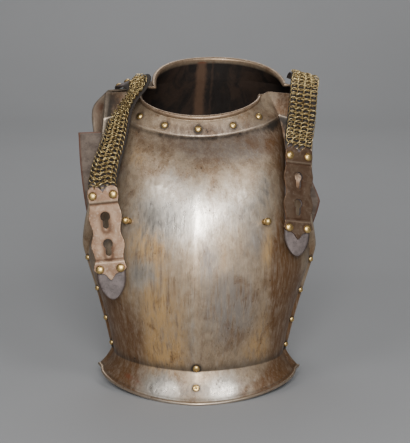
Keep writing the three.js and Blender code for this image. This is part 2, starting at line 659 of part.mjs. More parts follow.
// The origin is under the middle of the whole, on the floor.
const extent = new THREE.Box3().setFromObject(cuirass, true);
const centre = extent.getCenter(new THREE.Vector3());
const assembly = new THREE.Group();
assembly.add(cuirass);
cuirass.position.set(-centre.x, -centre.y, -extent.min.z);

export default assembly;
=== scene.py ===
"""Looks of a steel cuirass: breastplate, backplate, chain straps and belt halves, built round the
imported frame. Lengths in the tables are millimetres in the frame that the plates are drawn in, and
to_frame turns them into metres in the row frame."""

import math
import random

import bmesh
import bpy
import numpy as np
from mathutils import Matrix, Vector, noise


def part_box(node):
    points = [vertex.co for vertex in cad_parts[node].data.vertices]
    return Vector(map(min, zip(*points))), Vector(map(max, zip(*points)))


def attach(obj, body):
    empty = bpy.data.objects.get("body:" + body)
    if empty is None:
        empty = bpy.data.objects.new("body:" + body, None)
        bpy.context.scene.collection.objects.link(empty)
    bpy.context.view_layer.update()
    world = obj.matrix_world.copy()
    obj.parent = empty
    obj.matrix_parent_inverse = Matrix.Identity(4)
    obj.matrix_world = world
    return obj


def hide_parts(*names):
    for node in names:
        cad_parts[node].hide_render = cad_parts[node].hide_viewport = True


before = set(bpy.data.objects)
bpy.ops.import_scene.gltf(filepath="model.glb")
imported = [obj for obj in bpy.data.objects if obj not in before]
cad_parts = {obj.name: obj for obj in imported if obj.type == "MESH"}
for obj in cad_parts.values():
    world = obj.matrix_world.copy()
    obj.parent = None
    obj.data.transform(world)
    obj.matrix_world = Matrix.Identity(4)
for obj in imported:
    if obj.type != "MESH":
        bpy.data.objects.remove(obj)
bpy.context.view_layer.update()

# ---------------------------------------------------------------- driving values
NECK_ROLL_RADIUS = 3.6
WAIST_BEAD_RADIUS = 2.2
WAIST_BEAD_WORN = 0.9
BREAST_PLACE = (-1.9, 1.4, 0)  # yaw in degrees, then where its axis stands
BACK_PLACE = (190, 32, 20)
CORE_COLUMNS = 11
NECK_COLUMNS = 9
FLANGE_COLUMNS = 2
ROWS_PER_SECTION = 2
MIDDLE = CORE_COLUMNS + FLANGE_COLUMNS

# Each section: height and depth at the middle, crease at the side, rim of the flange, fullness, keel
BREAST = {
    "thickness": 2.8,
    "waist": (None, -174, (133, -76, 17), (139, -62, 20), 0.42, 0.08),
    "sections": [
        (39, -150, (116, -66, 43), (121, -60, 44), 0.52, 0.16),
        (80, -158, (124, -60, 84), (131, -56, 84), 0.55, 0.15),
        (125, -164, (137, -54, 130), (144, -50, 130), 0.58, 0.14),
        (168, -165, (150, -47, 170), (157, -43, 171), 0.6, 0.14),
        (186, -163, (150, -47, 188), (161, -42, 188), 0.6, 0.13),
        (214, -158, (138, -60, 216), (158, -56, 214), 0.6, 0.12),
        (248, -148, (124, -64, 252), (151, -64, 247), 0.6, 0.1),
        (284, -131, (117, -58, 292), (142, -62, 284), 0.58, 0.08),
        (316, -108, (114, -44, 330), (135, -50, 322), 0.55, 0.05),
        (343, -80, (107, -24, 364), (132, -32, 358), 0.5, 0.02),
    ],
    "bent": [],
    "neck": {"y": -67, "z": 366, "end": (80, -14, 388), "drop": 0.6,
             "shoulder": (94, -5, 394), "rim": (131, -8, 391)},
}
BACK = {
    "thickness": 2.4,
    "waist": (None, -148, (96, -42, 14), (100, -32, 17), 0.5, -0.04),
    "sections": [
        (44, -120, (88, -30, 48), (93, -24, 49), 0.55, -0.08),
        (85, -126, (101, -22, 88), (107, -17, 88), 0.58, -0.1),
        (130, -134, (114, -15, 134), (121, -10, 134), 0.6, -0.1),
        (176, -140, (126, -8, 180), (133, -3, 180), 0.62, -0.1),
        (198, -142, (127, -16, 202), (138, -8, 200), 0.62, -0.1),
        (234, -144, (126, -42, 238), (143, -34, 236), 0.62, -0.1),
        (276, -142, (126, -60, 282), (146, -52, 280), 0.6, -0.09),
        (318, -136, (127, -62, 324), (147, -54, 322), 0.58, -0.08),
        (358, -125, (126, -50, 364), (145, -40, 362), 0.55, -0.05),
        (398, -108, (119, -30, 390), (136, -20, 387), 0.5, -0.02),
    ],
    "bent": [(150, -36, 236), (165, -54, 282), (175, -60, 328), (176, -58, 366), (157, -44, 391)],
    "neck": {"y": -98, "z": 427, "end": (91, -14, 396), "drop": 0.25,
             "shoulder": (108, -5, 400), "rim": (124, -3, 398)},
}
WAIST_FLOOR = 0.2  # part of the waist edge's length that lies on the floor

STRAP = {"width": 38, "thickness": 2.4, "tongue": 30, "plate": 1.6}
CHAIN_FROM = 44  # where the mail starts along its strap
CHAIN_RISE = 2.8  # of the middles of its links over the keyhole plate's inner face
LINK = {"wire": 0.58, "sides": 18, "section": 6}  # radius of the wire, sides of a link and of its wire
LOOSE = {"across": 0.4, "down": 0.25, "up": 0.35, "lean": 0.1, "turn": 0.2, "gathered_turn": 0.5}
MAIL_EDGE = 1.5  # from the end of the mail to the middles of its last links
MAIL_SWAY = 0.7  # of the columns from side to side
MAIL_FOLD, MAIL_SUNK = 0.8, 1.6  # where it is gathered: height of its folds, and how much flatter it lies
# Mail of each strap: columns of links and the distance between them, radius of a link, distance
# between rows, how far a row waves, how much the links lean, the length of strap over which they are
# gathered at the shoulder, and how much narrower they are there
MAIL = {
    "right": {"columns": 9, "across": 3.6, "radius": 4.2, "along": 6.7, "wave": 3.0,
              "lean": math.radians(50), "gather": 30, "narrow": 0.5},
    "left": {"columns": 7, "across": 4.7, "radius": 4.5, "along": 7.2, "wave": 0.5,
             "lean": math.radians(47), "gather": 24, "narrow": 0.15},
}
HEAD = {"side": 3.6, "neck": 4.8, "shoulder": 4.6, "strap": 5.7}  # radii of rivet heads
HEAD_HEIGHT = 0.68  # of the radius
# Profiles of a rivet's head, in shares of its radius and height
DOME = [(0, 0), (1, 0), (1.0, 0.1), (0.97, 0.28), (0.9, 0.48), (0.78, 0.67), (0.6, 0.84), (0.38, 0.95),
        (0.16, 0.995), (0, 1)]
WORN_DOME = [(0, 0), (0.98, 0), (1.0, 0.15), (0.93, 0.36), (0.8, 0.5), (0.66, 0.57), (0.52, 0.6), (0.4, 0.62),
             (0.3, 0.63), (0.2, 0.635), (0.1, 0.64), (0, 0.64)]
STUD = {"post": 3.0, "length": 6.0, "ball": 4.9, "foot": 1.2}  # radii, and length of the post
GAP = 0.3
# Each control of a band: where its middle lies, and the direction of its width
STRAPS = {
    "right": {
        "controls": [
            (-101, 42, 399.5, 0.92, 0.1, 0.38), (-99, 20, 405.5, 0.92, 0.06, 0.36),
            (-90, 4, 408.4, 0.86, -0.02, 0.33), (-82, -12, 406.6, 0.78, -0.3, 0.34),
            (-83.5, -27, 397, 0.68, -0.58, 0.36), (-92.5, -39, 384.5, 0.6, -0.7, 0.38),
            (-103, -50, 368, 0.72, -0.56, 0.38), (-109, -65, 350, 0.84, -0.42, 0.3),
            (-116, -85, 327, 0.93, -0.3, 0.18), (-123, -102, 305, 0.97, -0.18, 0.1),
            (-127, -115, 283, 0.99, -0.1, 0.08),
        ],
        "tip": (-112, -146, 137),
    },
    "left": {
        "controls": [
            (144, 76, 401, 0.93, 0.15, -0.3), (144, 54, 407, 0.93, 0.12, -0.32),
            (145, 30, 412, 0.94, 0.08, -0.3), (146, 8, 411, 0.97, 0.05, -0.22),
            (144, -10, 403, 0.98, 0.1, -0.12), (142, -26, 386, 0.97, 0.16, -0.06),
            (138, -43, 362, 0.95, 0.24, -0.03), (134, -60, 343, 0.92, 0.36, 0),
            (132, -76, 328, 0.88, 0.46, 0),
        ],
        "tip": (129, -128, 191),
    },
}
# Keyhole plate: distances down and half widths, its notch between the lobes, its shoulders and point
PLATE_SIDES = [(4, 19.5), (12, 20.5), (23, 19), (40, 22), (60, 18.2), (77, 22), (95, 18.8), (109, 21.8)]
PLATE_NOTCH = 8
PLATE_POINT = {"shoulder_down": 115, "shoulder_half": 8, "down": 124}
# Folds across the plate: distances down of the step, of its crest with a painted highlight and how strong
# that is, of its groove and how deep, and of the dirty, painted-shade line in it and how dark
PLATE_FOLDS = [
    {"step": 21.5, "crest": 20.6, "painted_highlight": 1.0, "groove": 23.3, "depth": 0.5, "grime_and_shade": 23.6, "dirt_and_shade": 0.9},
    {"step": 99, "crest": 100.2, "painted_highlight": 0.8, "groove": 97.3, "depth": 0.35, "grime_and_shade": 97.0, "dirt_and_shade": 0.8},
]
PLATE_STEP = {"height": 0.9, "steepness": 2.2}
PLATE_BLANK = {"width": 46, "height": 128, "over": 2, "columns": 34, "rows": 96}
PLATE_BEVEL = 0.0004  # metres
KEYHOLES_DOWN = (40, 76)
PLATE_HEADS = [(x, down) for x in (-13.8, 13.8) for down in (12, 109)]
KEYHOLE = {"radius": 6.5, "slot_half": 3.9, "slot_length": 16}
BELT = {"width": 42, "thickness": 2.6}
BELTS = {
    "right": {
        "controls": [
            (-70, 74, 66, -0.25, 0.12, 0.96), (-73, 44, 70, -0.25, 0.15, 0.96),
            (-80, 17, 80, -0.25, 0.3, 0.92), (-98, -3, 112, -0.6, 0.35, 0.7),
            (-122, -12, 165, -0.93, 0.2, 0.3), (-136, -15, 228, -1, 0.05, 0.1),
            (-143, -18, 290, -1, 0, 0.02), (-145, -20, 341, -1, 0, 0),
        ],
        "pointed": 0,
    },
    "left": {
        "controls": [
            (115, 95, 66, -0.21, -0.15, -0.96), (130, 69, 68, -0.21, -0.2, -0.95),
            (141, 48, 76, -0.15, -0.32, -0.92), (131, 24, 104, -0.6, -0.3, -0.7),
            (130, 4, 172, -0.95, -0.15, -0.25), (147, -14, 240, -1, -0.05, 0.15),
            (152, -22, 284, -1, 0, 0.12),
        ],
        "pointed": 38,
    },
}


# ---------------------------------------------------------------- curves
def unit(v):
    return v / np.linalg.norm(v)


def square_to(direction, axis):
    """Unit vector square to the axis that is nearest to the direction."""
    return unit(direction - axis * np.dot(direction, axis))


def distances(points):
    """How far along the line through the points each of them lies."""
    return np.concatenate([[0], np.cumsum(np.linalg.norm(np.diff(points, axis=0), axis=1))])


def bell(value, middle, width):
    return np.exp(-(((value - middle) / width) ** 2))


def smooth_curve(points):
    """Centripetal Catmull-Rom curve through the points, as a function of 0 to 1."""
    pts = [np.array(p, float) for p in points]

    def at(t):
        count = len(pts) - 1
        place = min(max(t, 0), 1) * count
        i = min(int(place), count - 1)
        w = place - i
        p1, p2 = pts[i], pts[i + 1]
        p0 = pts[i - 1] if i > 0 else 2 * p1 - p2
        p3 = pts[i + 2] if i + 2 <= count else 2 * p2 - p1
        d0, d1, d2 = (max(np.sum((b - a) ** 2), 1e-12) ** 0.25 for a, b in ((p0, p1), (p1, p2), (p2, p3)))
        t1 = ((p1 - p0) / d0 - (p2 - p0) / (d0 + d1) + (p2 - p1) / d1) * d1
        t2 = ((p2 - p1) / d1 - (p3 - p1) / (d1 + d2) + (p3 - p2) / d2) * d1
        return p1 + t1 * w + (-3 * p1 + 3 * p2 - 2 * t1 - t2) * w * w + (2 * p1 - 2 * p2 + t1 + t2) * w**3

    return at


def spaced_bezier(a, b, c, d, count):
    """Evenly spaced points of a cubic Bezier curve."""
    t = np.linspace(0, 1, 201)[:, None]
    a, b, c, d = (np.array(p, float) for p in (a, b, c, d))
    fine = (1 - t) ** 3 * a + 3 * (1 - t) ** 2 * t * b + 3 * (1 - t) * t**2 * c + t**3 * d
    along = distances(fine)
    want = np.linspace(0, along[-1], count + 1)
    return list(np.stack([np.interp(want, along, fine[:, k]) for k in range(3)], -1))


def grid_faces(rows, size, closed=True):
    """Faces between neighbouring rows of points, each row of the size given and open or closed."""
    faces = []
    for j in range(rows - 1):
        for k in range(size if closed else size - 1):
            a, b = j * size + k, j * size + (k + 1) % size
            faces.append((a, a + size, b + size, b))
    return faces


# ---------------------------------------------------------------- plates
CORE_FINE = 3  # columns and rows of the looks for each one of the solid
BODY_FINE = 3
FLARE_PLACES = (0.06, 0.15, 0.3, 0.45, 0.6, 0.75, 0.88, 0.96)  # rows of the waist flange
BAND_PLACES = (0.03, 0.08, 0.22, 0.42, 0.62, 0.82, 1)  # rows of the neck band
# Values of the row attribute at the waist crease, the neck crease and the start of the neck roll
WAIST_ROW, NECK_ROW, ROLL_ROW = 1, 2, 3
ROLL_DARK = {"breast_plate": 1.0, "back_plate": 0.6}  # how dark the neck roll is
FLANGE_FROM = CORE_COLUMNS + 0.3  # the column from which the inside is as bright as the outside
CREASE_STEP = 0.15  # of a row: how close the rows at a crease lie
ARC_STEPS = 10  # round the bead and the neck roll
BAND_RAISED = 0.7  # of the neck band over the plate
FLARE_HOLLOW = 2.6  # how far the waist flange curves in at its middle


def half_section(z, y, edge, full, keel, columns):
    """Half of a section, from the middle of the plate to its side crease."""
    xe, ye, ze = edge
    return spaced_bezier(
        (0, y, z), (xe * full, y + keel * xe * full, z),
        (xe, y + (ye - y) * (1 - full), z + (ze - z) * 0.75), edge, columns)


def full_row(half, rim, far_rim):
    """A row across the plate from one flange's rim to the other's."""
    steps = FLANGE_COLUMNS * CORE_FINE

    def side(end):
        crease = half[-1]
        out = [crease + (np.array(end, float) - crease) * i / steps for i in range(1, steps + 1)]
        return list(half[1:]) + out

    left = [p * (-1, 1, 1) for p in side(rim)]
    return np.array(left[::-1] + [half[0]] + side(far_rim))


def plate_rows(spec):
    """Rows of the plate's middle surface, and for each row its place: 0 waist edge, 1 waist crease,
    2 lower edge of the neck band, 3 neck."""
    columns = CORE_COLUMNS * CORE_FINE
    first_bent = len(spec["sections"]) - len(spec["bent"])
    stations = []
    for i, (z, y, edge, rim, full, keel) in enumerate(spec["sections"]):
        far = spec["bent"][i - first_bent] if i >= first_bent else rim
        stations.append(full_row(half_section(z, y, edge, full, keel, columns), rim, far))
    _, y, edge, rim, full, keel = spec["waist"]
    waist = half_section(0, y, edge, full, keel, columns)
    for i, p in enumerate(waist):
        beyond = max(0, i / columns - WAIST_FLOOR) / (1 - WAIST_FLOOR)
        p[2] = WAIST_BEAD_RADIUS - WAIST_BEAD_WORN + edge[2] * beyond**1.6
    waist_row = full_row(waist, rim, rim)
    neck = spec["neck"]
    (ex, ey, ez), y, z = neck["end"], neck["y"], neck["z"]
    fall = (ex, y + (ey - y) * 0.44, z + (ez - z) * neck["drop"])
    along = spaced_bezier((0, y, z), (ex * 0.56, y, z), fall, neck["end"], NECK_COLUMNS * CORE_FINE)
    corner, shoulder = np.array(neck["end"], float), np.array(neck["shoulder"], float)
    steps = (CORE_COLUMNS - NECK_COLUMNS) * CORE_FINE
    along += [corner + (shoulder - corner) * i / steps for i in range(1, steps + 1)]
    neck_row = full_row(along, neck["rim"], neck["rim"])

    rows = [waist_row] + [flare_row(waist_row, stations[0], t) for t in FLARE_PLACES]
    places = [0.0, *FLARE_PLACES]
    body = [smooth_curve([s[j] for s in stations]) for j in range(len(waist_row))]
    count = (len(stations) - 1) * ROWS_PER_SECTION * BODY_FINE
    for i in [0, CREASE_STEP, *range(1, count), count - CREASE_STEP, count]:
        rows.append(np.array([curve(i / count) for curve in body]))
        places.append(1 + i / count)
    for t in BAND_PLACES:
        rows.append(stations[-1] + (neck_row - stations[-1]) * t)
        places.append(2 + t)
    return np.array(rows), np.array(places)


def flare_row(waist_row, top, t):
    """A row of the waist flange, which flares from the waist crease to the waist edge."""
    inward = 4 * t * (1 - t) * FLARE_HOLLOW
    q = waist_row + (top - waist_row) * t
    flat = q * (1, 1, 0)
    return q - inward * flat / np.linalg.norm(flat, axis=1)[:, None]


def grid_normals(rows):
    """Outward directions at the points of the rows."""
    padded = np.pad(rows, ((1, 1), (1, 1), (0, 0)), mode="edge")
    along = padded[1:-1, 2:] - padded[1:-1, :-2]
    up = padded[2:, 1:-1] - padded[:-2, 1:-1]
    n = np.cross(along, up)
    return n / np.linalg.norm(n, axis=2)[..., None]


def edge_arc(point, normal, towards, radius, thickness):
    """Round edge of the sheet, rolled outwards, from its outer face round to its inner one."""
    up = square_to(towards, normal)
    centre = point + normal * (radius - thickness / 2)
    start = -math.acos(max(-1, min(1, (thickness - radius) / radius)))
    return [centre + normal * radius * math.cos(a) + up * radius * math.sin(a)
            for a in np.linspace(start, math.pi, ARC_STEPS + 1)]


def turned_about_z(points, yaw):
    c, s = math.cos(math.radians(yaw)), math.sin(math.radians(yaw))
    x, y, z = (points[..., k] for k in range(3))
    return np.stack([c * x - s * y, s * x + c * y, z], -1)


def placed(points, place):
    """Points of a plate's own frame in the frame that the straps are drawn in."""
    yaw, x, y = place
    return turned_about_z(points, yaw) + (x, y, 0)


def unplaced(points, place):
    """Points of the straps' frame in a plate's own."""
    yaw, x, y = place
    return turned_about_z(points - (x, y, 0), -yaw)


def plate_points(spec, place):
    """Loops of points up the outside and down the inside of a plate, one for each column, and the row,
    the side and the column of each point."""
    rows, places = plate_rows(spec)
    normals = grid_normals(rows)
    thickness = spec["thickness"]
    half = thickness / 2
    last = len(rows) - 1
    raised = np.clip((places - NECK_ROW) / BAND_PLACES[0], 0, 1) * BAND_RAISED
    loops = []
    values = []
    for j in range(rows.shape[1]):
        column = abs(j - MIDDLE * CORE_FINE) / CORE_FINE
        radius = float(np.interp(column, [NECK_COLUMNS, NECK_COLUMNS + 1], [NECK_ROLL_RADIUS, half]))
        row, normal = rows[:, j], normals[:, j]
        loop = edge_arc(row[0], normal[0], row[0] - row[1], WAIST_BEAD_RADIUS, thickness)[::-1]
        info = [(-k / ARC_STEPS, 0.0) for k in range(ARC_STEPS, -1, -1)]
        for i in range(1, last):
            loop.append(row[i] + normal[i] * (half + raised[i]))
            info.append((places[i], 0.0))
        loop += edge_arc(row[last], normal[last], row[last] - row[last - 1], radius, thickness)
        info += [(ROLL_ROW + k / ARC_STEPS, 0.0) for k in range(ARC_STEPS + 1)]
        for i in range(last - 1, 0, -1):
            loop.append(row[i] - normal[i] * half)
            info.append((places[i], 1.0))
        for p in loop:
            p[2] = max(p[2], 0)
        loops.append(loop)
        values.append([(place_up, inside, column) for place_up, inside in info])
    return placed(np.array(loops), place), np.array(values)


def plate_faces(columns, size):
    """Faces between neighbouring loops, and those that close the first and the last one."""
    faces = grid_faces(columns, size)
    start = ARC_STEPS // 2
    for column, flip in ((0, False), (columns - 1, True)):
        base = column * size
        for s in range(size // 2):
            ring = [base + (start + s) % size, base + (start + s + 1) % size,
                    base + (start - s - 1) % size, base + (start - s) % size]
            face = list(dict.fromkeys(ring))
            faces.append(tuple(face[::-1] if flip else face))
    return faces


breast_points, breast_values = plate_points(BREAST, BREAST_PLACE)
back_points, back_values = plate_points(BACK, BACK_PLACE)
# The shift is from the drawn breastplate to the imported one.
low, high = (np.array(v) * 1000 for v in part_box("breast_plate"))
drawn = breast_points.reshape(-1, 3)
SHIFT = ((low + high) - (drawn.min(0) + drawn.max(0))) / 2
SHIFT[2] = 0


def to_frame(points):
    """Metres in the row frame from millimetres in the drawing frame."""
    return (np.asarray(points, float) + SHIFT) / 1000


# ---------------------------------------------------------------- meshes
SAME_LEVEL = 5e-5  # metres between corners that lie in one plane
TURNED_SIDES = 28


def mesh_object(name, points, faces, smooth=True):
    mesh = bpy.data.meshes.new(name)
    mesh.from_pydata([tuple(p) for p in points], [], faces)
    mesh.validate()
    obj = bpy.data.objects.new(name, mesh)
    bpy.context.scene.collection.objects.link(obj)
    bm = bmesh.new()
    bm.from_mesh(mesh)
    bmesh.ops.recalc_face_normals(bm, faces=bm.faces)
    bm.to_mesh(mesh)
    bm.free()
    if smooth:
        mesh.polygons.foreach_set("use_smooth", [True] * len(mesh.polygons))
    return obj


def attribute(obj, name, values):
    """Gives each vertex a value that materials can read."""
    layer = obj.data.attributes.new(name, "FLOAT", "POINT")
    layer.data.foreach_set("value", np.asarray(values, np.float32).ravel())


def take_attribute(obj, name):
    """Values of a point attribute, which then goes."""
    layer = obj.data.attributes[name]
    values = np.zeros(len(layer.data), np.float32)
    layer.data.foreach_get("value", values)
    obj.data.attributes.remove(layer)
    return values


def apply_modifiers(obj):
    bpy.context.view_layer.update()
    depsgraph = bpy.context.evaluated_depsgraph_get()
    mesh = bpy.data.meshes.new_from_object(obj.evaluated_get(depsgraph))
    old = obj.data
    obj.modifiers.clear()
    obj.data = mesh
    bpy.data.meshes.remove(old)
    mesh.name = obj.name


def subdivide(obj):
    modifier = obj.modifiers.new("smooth", "SUBSURF")
    modifier.levels = modifier.render_levels = 1
    apply_modifiers(obj)


def combine(obj, operation, tool):
    """Cuts the object with the tool's solid, or to it, and removes the tool."""
    modifier = obj.modifiers.new("form", "BOOLEAN")
    modifier.operation = operation
    modifier.solver = "EXACT"
    modifier.object = tool
    apply_modifiers(obj)
    bpy.data.objects.remove(tool)


def coords(obj):
    co = np.zeros(len(obj.data.vertices) * 3, np.float32)
    obj.data.vertices.foreach_get("co", co)
    return co.reshape(-1, 3).astype(float)


def node_points(node):
    """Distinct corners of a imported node, in metres."""
    return np.unique(np.round(coords(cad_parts[node]), 6), axis=0)


def seat_of(node):
    """Middle of a turned piece's base and its axis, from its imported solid."""
    p = node_points(node)
    centre = p.mean(0)
    _, vectors = np.linalg.eigh(np.cov((p - centre).T))
    spread = [np.std((p - centre) @ v) for v in vectors.T]
    in_plane = [abs(spread[i] - spread[(i + 1) % 3]) for i in range(3)]
    axis = vectors[:, (int(np.argmin(in_plane)) + 2) % 3]
    height = (p - centre) @ axis
    near_low = np.sum(height < height.min() + SAME_LEVEL)
    near_high = np.sum(height > height.max() - SAME_LEVEL)
    if near_high > near_low:
        axis, height = -axis, -height
    base = p[height < height.min() + SAME_LEVEL]
    middle = (base.min(0) + base.max(0)) / 2
    middle = centre + axis * height.min() + (middle - centre - axis * np.dot(middle - centre, axis))
    return Vector(middle), Vector(axis)


def turned(name, outline):
    """Solid of revolution about +Z from (radius, height) pairs in millimetres that start and end on
    the axis. Its attribute up is its height, from 0 to 1."""
    outline = [(r / 1000, z / 1000) for r, z in outline]
    points = [(0, 0, outline[0][1]), (0, 0, outline[-1][1])]
    for r, z in outline[1:-1]:
        for k in range(TURNED_SIDES):
            a = 2 * math.pi * k / TURNED_SIDES
            points.append((r * math.cos(a), r * math.sin(a), z))
    faces = [tuple(2 + k for k in face) for face in grid_faces(len(outline) - 2, TURNED_SIDES)]
    last = len(points) - TURNED_SIDES
    for k in range(TURNED_SIDES):
        n = (k + 1) % TURNED_SIDES
        faces += [(0, 2 + n, 2 + k), (1, last + k, last + n)]
    obj = mesh_object(name, points, faces)
    attribute(obj, "up", [p[2] / outline[-1][1] for p in points])
    return obj


def stand(obj, node):
    """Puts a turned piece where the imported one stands."""
    base, axis = seat_of(node)
    turn = Vector((0, 0, 1)).rotation_difference(axis).to_matrix().to_4x4()
    obj.data.transform(Matrix.Translation(base) @ turn)


# ---------------------------------------------------------------- straps and belts
STATION_STEP = 3.0


def band_frame(controls, tip=None):
    """Middle, direction of the width, normal, distance and direction at close steps along a band, which
    runs straight from its last control to its tip."""
    points = [c[:3] for c in controls]
    widths = [c[3:] for c in controls]
    if tip:
        last = np.array(points[-1], float)
        straight = np.array(tip) - last
        points.append(last + straight * 0.12)
        widths.append(widths[-1])
    line, width = smooth_curve(points), smooth_curve(widths)
    fine = np.linspace(0, (len(controls) - 1) / (len(points) - 1), 400)
    lengths = distances([line(t) for t in fine])
    stations = []

    def add_station(at, across, along, tangent):
        across = square_to(across, tangent)
        stations.append((at, across, np.cross(tangent, across), along, tangent))

    for along in np.linspace(0, lengths[-1], max(4, round(lengths[-1] / STATION_STEP)) + 1):
        t = float(np.interp(along, lengths, fine))
        tangent = unit(line(min(t + 1e-4, 1)) - line(max(t - 1e-4, 0)))
        if tip and along == lengths[-1]:
            tangent = unit(straight)
        add_station(line(t), width(t), along, tangent)
    if tip:
        length, tangent = np.linalg.norm(straight), unit(straight)
        for d in np.linspace(0, length, round(length / STATION_STEP) + 1)[1:]:
            add_station(last + tangent * d, np.array(widths[-1], float), lengths[-1] + d, tangent)
    return stations


def band(name, stations, width_at, thickness):
    """Solid band with softly rounded edges. Its attribute rim is 1 on its cut edges."""
    across_steps = 8
    points = []
    rim = []
    ends = (stations[0][3], stations[-1][3])
    for at, across, normal, along, _ in stations:
        half = width_at(along) / 2
        for side in (1, -1):
            for v in -side * np.linspace(-1, 1, across_steps + 1):
                height = side * thickness * (0.25 * abs(v) ** 12 - 0.5)
                points.append(at + across * v * half + normal * height)
                rim.append(max(abs(v) ** 8, float(along in ends)))
    size = 2 * (across_steps + 1)
    faces = grid_faces(len(stations), size)
    for base, flip in ((0, False), ((len(stations) - 1) * size, True)):
        for k in range(across_steps):
            face = (base + k, base + k + 1, base + size - 2 - k, base + size - 1 - k)
            faces.append(face[::-1] if flip else face)
    obj = mesh_object(name, to_frame(points), faces)
    attribute(obj, "rim", rim)
    return obj


def keyhole_outline(down):
    radius, half = KEYHOLE["radius"], KEYHOLE["slot_half"]
    mouth = math.acos(half / radius)
    outline = [(radius * math.cos(a), radius * math.sin(a) - down)
               for a in np.linspace(-mouth, math.pi + mouth, 29)]
    bottom = half - down - KEYHOLE["slot_length"]
    slot = np.linspace(math.pi, 2 * math.pi, 13)
    return outline + [(half * math.cos(a), half * math.sin(a) + bottom) for a in slot]


def prism(name, outline, bottom, top, seat):
    """Solid of a flat outline on a seat, which is an origin and three axes, between two heights."""
    origin, x_axis, y_axis, normal = seat
    points = [origin + x_axis * x + y_axis * y + normal * h for h in (bottom, top) for x, y in outline]
    n = len(outline)
    faces = [tuple(range(n))[::-1], tuple(range(n, 2 * n))]
    faces += [(k, (k + 1) % n, n + (k + 1) % n, n + k) for k in range(n)]
    return mesh_object(name, to_frame(points), faces, smooth=False)


def plate_outline():
    """Right half from the notch between the two lobes down to the point, and its mirror image."""
    curve = smooth_curve([(down, half, 0) for down, half in PLATE_SIDES])
    fine = np.array([curve(t) for t in np.linspace(0, 1, 120)])
    downs = np.linspace(PLATE_SIDES[0][0], PLATE_SIDES[-1][0], 70)
    right = list(zip(np.interp(downs, fine[:, 0], fine[:, 1]), -downs))
    top = []
    for a in np.linspace(0, 1, 9)[1:]:  # one lobe: a rounded hump between the notch and the side
        rise = PLATE_NOTCH * (math.sin(min(1, a * 1.9) * math.pi / 2) - 1)
        fall = PLATE_SIDES[0][0] * max(0, (a - 0.62) / 0.38) ** 2
        top.append((a * right[0][0], rise - fall))
    point, shoulder, inset = -PLATE_POINT["down"], -PLATE_POINT["shoulder_down"], PLATE_POINT["shoulder_half"]
    bottom = [(right[-1][0] - 3, shoulder + 2.4), (inset + 1.5, shoulder), (inset - 1.5, shoulder - 1.2),
              (2.6, point + 2.5)]
    half = top[:-1] + right + bottom
    return [(0, -PLATE_NOTCH), *half, (0, point)] + [(-x, y) for x, y in half[::-1]]


def plate_relief(x, down):
    """How far the keyhole plate stands out: its middle lies a step below its two riveted ends."""
    upper, lower = (fold["step"] for fold in PLATE_FOLDS)
    steep = PLATE_STEP["steepness"]
    step = sum(1 / (1 + math.exp(past * steep)) for past in (down - upper, lower - down))
    groove = sum(fold["depth"] * bell(down, fold["groove"], 1.0) for fold in PLATE_FOLDS)
    buckle = -0.12 * math.sin(x / 6.1 - down / 11) * math.sin(down / 7.7)
    return PLATE_STEP["height"] * step - groove + buckle


def plate_blank(name, seat, inner):
    """Rectangle of sheet with the keyhole plate's relief on its face, to be cut to its outline."""
    origin, x_axis, y_axis, normal = seat
    columns, rows = PLATE_BLANK["columns"], PLATE_BLANK["rows"]
    points = []
    for level in (0, 1):
        for j in range(rows + 1):
            for i in range(columns + 1):
                x = (i / columns - 0.5) * PLATE_BLANK["width"]
                down = j / rows * PLATE_BLANK["height"] - PLATE_BLANK["over"]
                height = inner + level * (STRAP["plate"] + plate_relief(x, down))
                points.append(origin + x_axis * x - y_axis * down + normal * height)
    wide = columns + 1
    size = wide * (rows + 1)
    faces = grid_faces(rows + 1, wide, closed=False)
    faces += [tuple(size + k for k in face[::-1]) for face in faces]
    rim = [*range(columns), *range(columns, size - 1, wide)]
    rim += [*range(size - 1, size - wide, -1), *range(size - wide, 0, -wide)]
    faces += [(a, b, size + b, size + a) for a, b in zip(rim, rim[1:] + rim[:1])]
    return mesh_object(name, to_frame(points), faces)


def keyhole_plate(side, seat, inner):
    """Sheet brass plate with its keyholes. Its attributes hold a painted highlight along each fold's crest,
    and dark marks in the folds' grooves, round the keyholes and round the rivet heads, which are partly dirty
    and partly painted shade.
    """
    origin, x_axis, y_axis, _ = seat
    plate = plate_blank(f"keyhole_plate_{side}_sheet", seat, inner)
    form = prism("form", plate_outline(), -5, 12, seat)
    for down in KEYHOLES_DOWN:
        combine(form, "DIFFERENCE", prism("hole", keyhole_outline(down), -20, 30, seat))
    combine(plate, "INTERSECT", form)
    bevel = plate.modifiers.new("edge", "BEVEL")
    bevel.width = PLATE_BEVEL
    bevel.segments = 2
    bevel.limit_method = "ANGLE"
    bevel.angle_limit = math.radians(50)
    apply_modifiers(plate)

    away = coords(plate) * 1000 - SHIFT - origin
    across, down = away @ x_axis, -(away @ y_axis)
    # Painted highlight on the folds' crests; darkening in the grooves, round the keyholes and round the heads
    # that is partly dirty marks and partly painted shade.
    painted_highlight = sum(fold["painted_highlight"] * bell(down, fold["crest"], 0.9) for fold in PLATE_FOLDS)
    grime_and_shade = sum(fold["dirt_and_shade"] * bell(down, fold["grime_and_shade"], 1.0) for fold in PLATE_FOLDS)
    for hole in KEYHOLES_DOWN:
        slot = np.clip(down - hole, 0, KEYHOLE["slot_length"])
        grime_and_shade += 0.7 * bell(np.hypot(across, down - hole - slot), 5.0, 3.0)
    for x, y in PLATE_HEADS:
        grime_and_shade += 0.8 * bell(np.maximum(np.hypot(across - x, down - y) - 4.4, 0), 0, 1.6)
    attribute(plate, "fold", np.clip(painted_highlight, 0, 1))
    attribute(plate, "grime_and_shade", np.clip(grime_and_shade, 0, 1))
    return plate


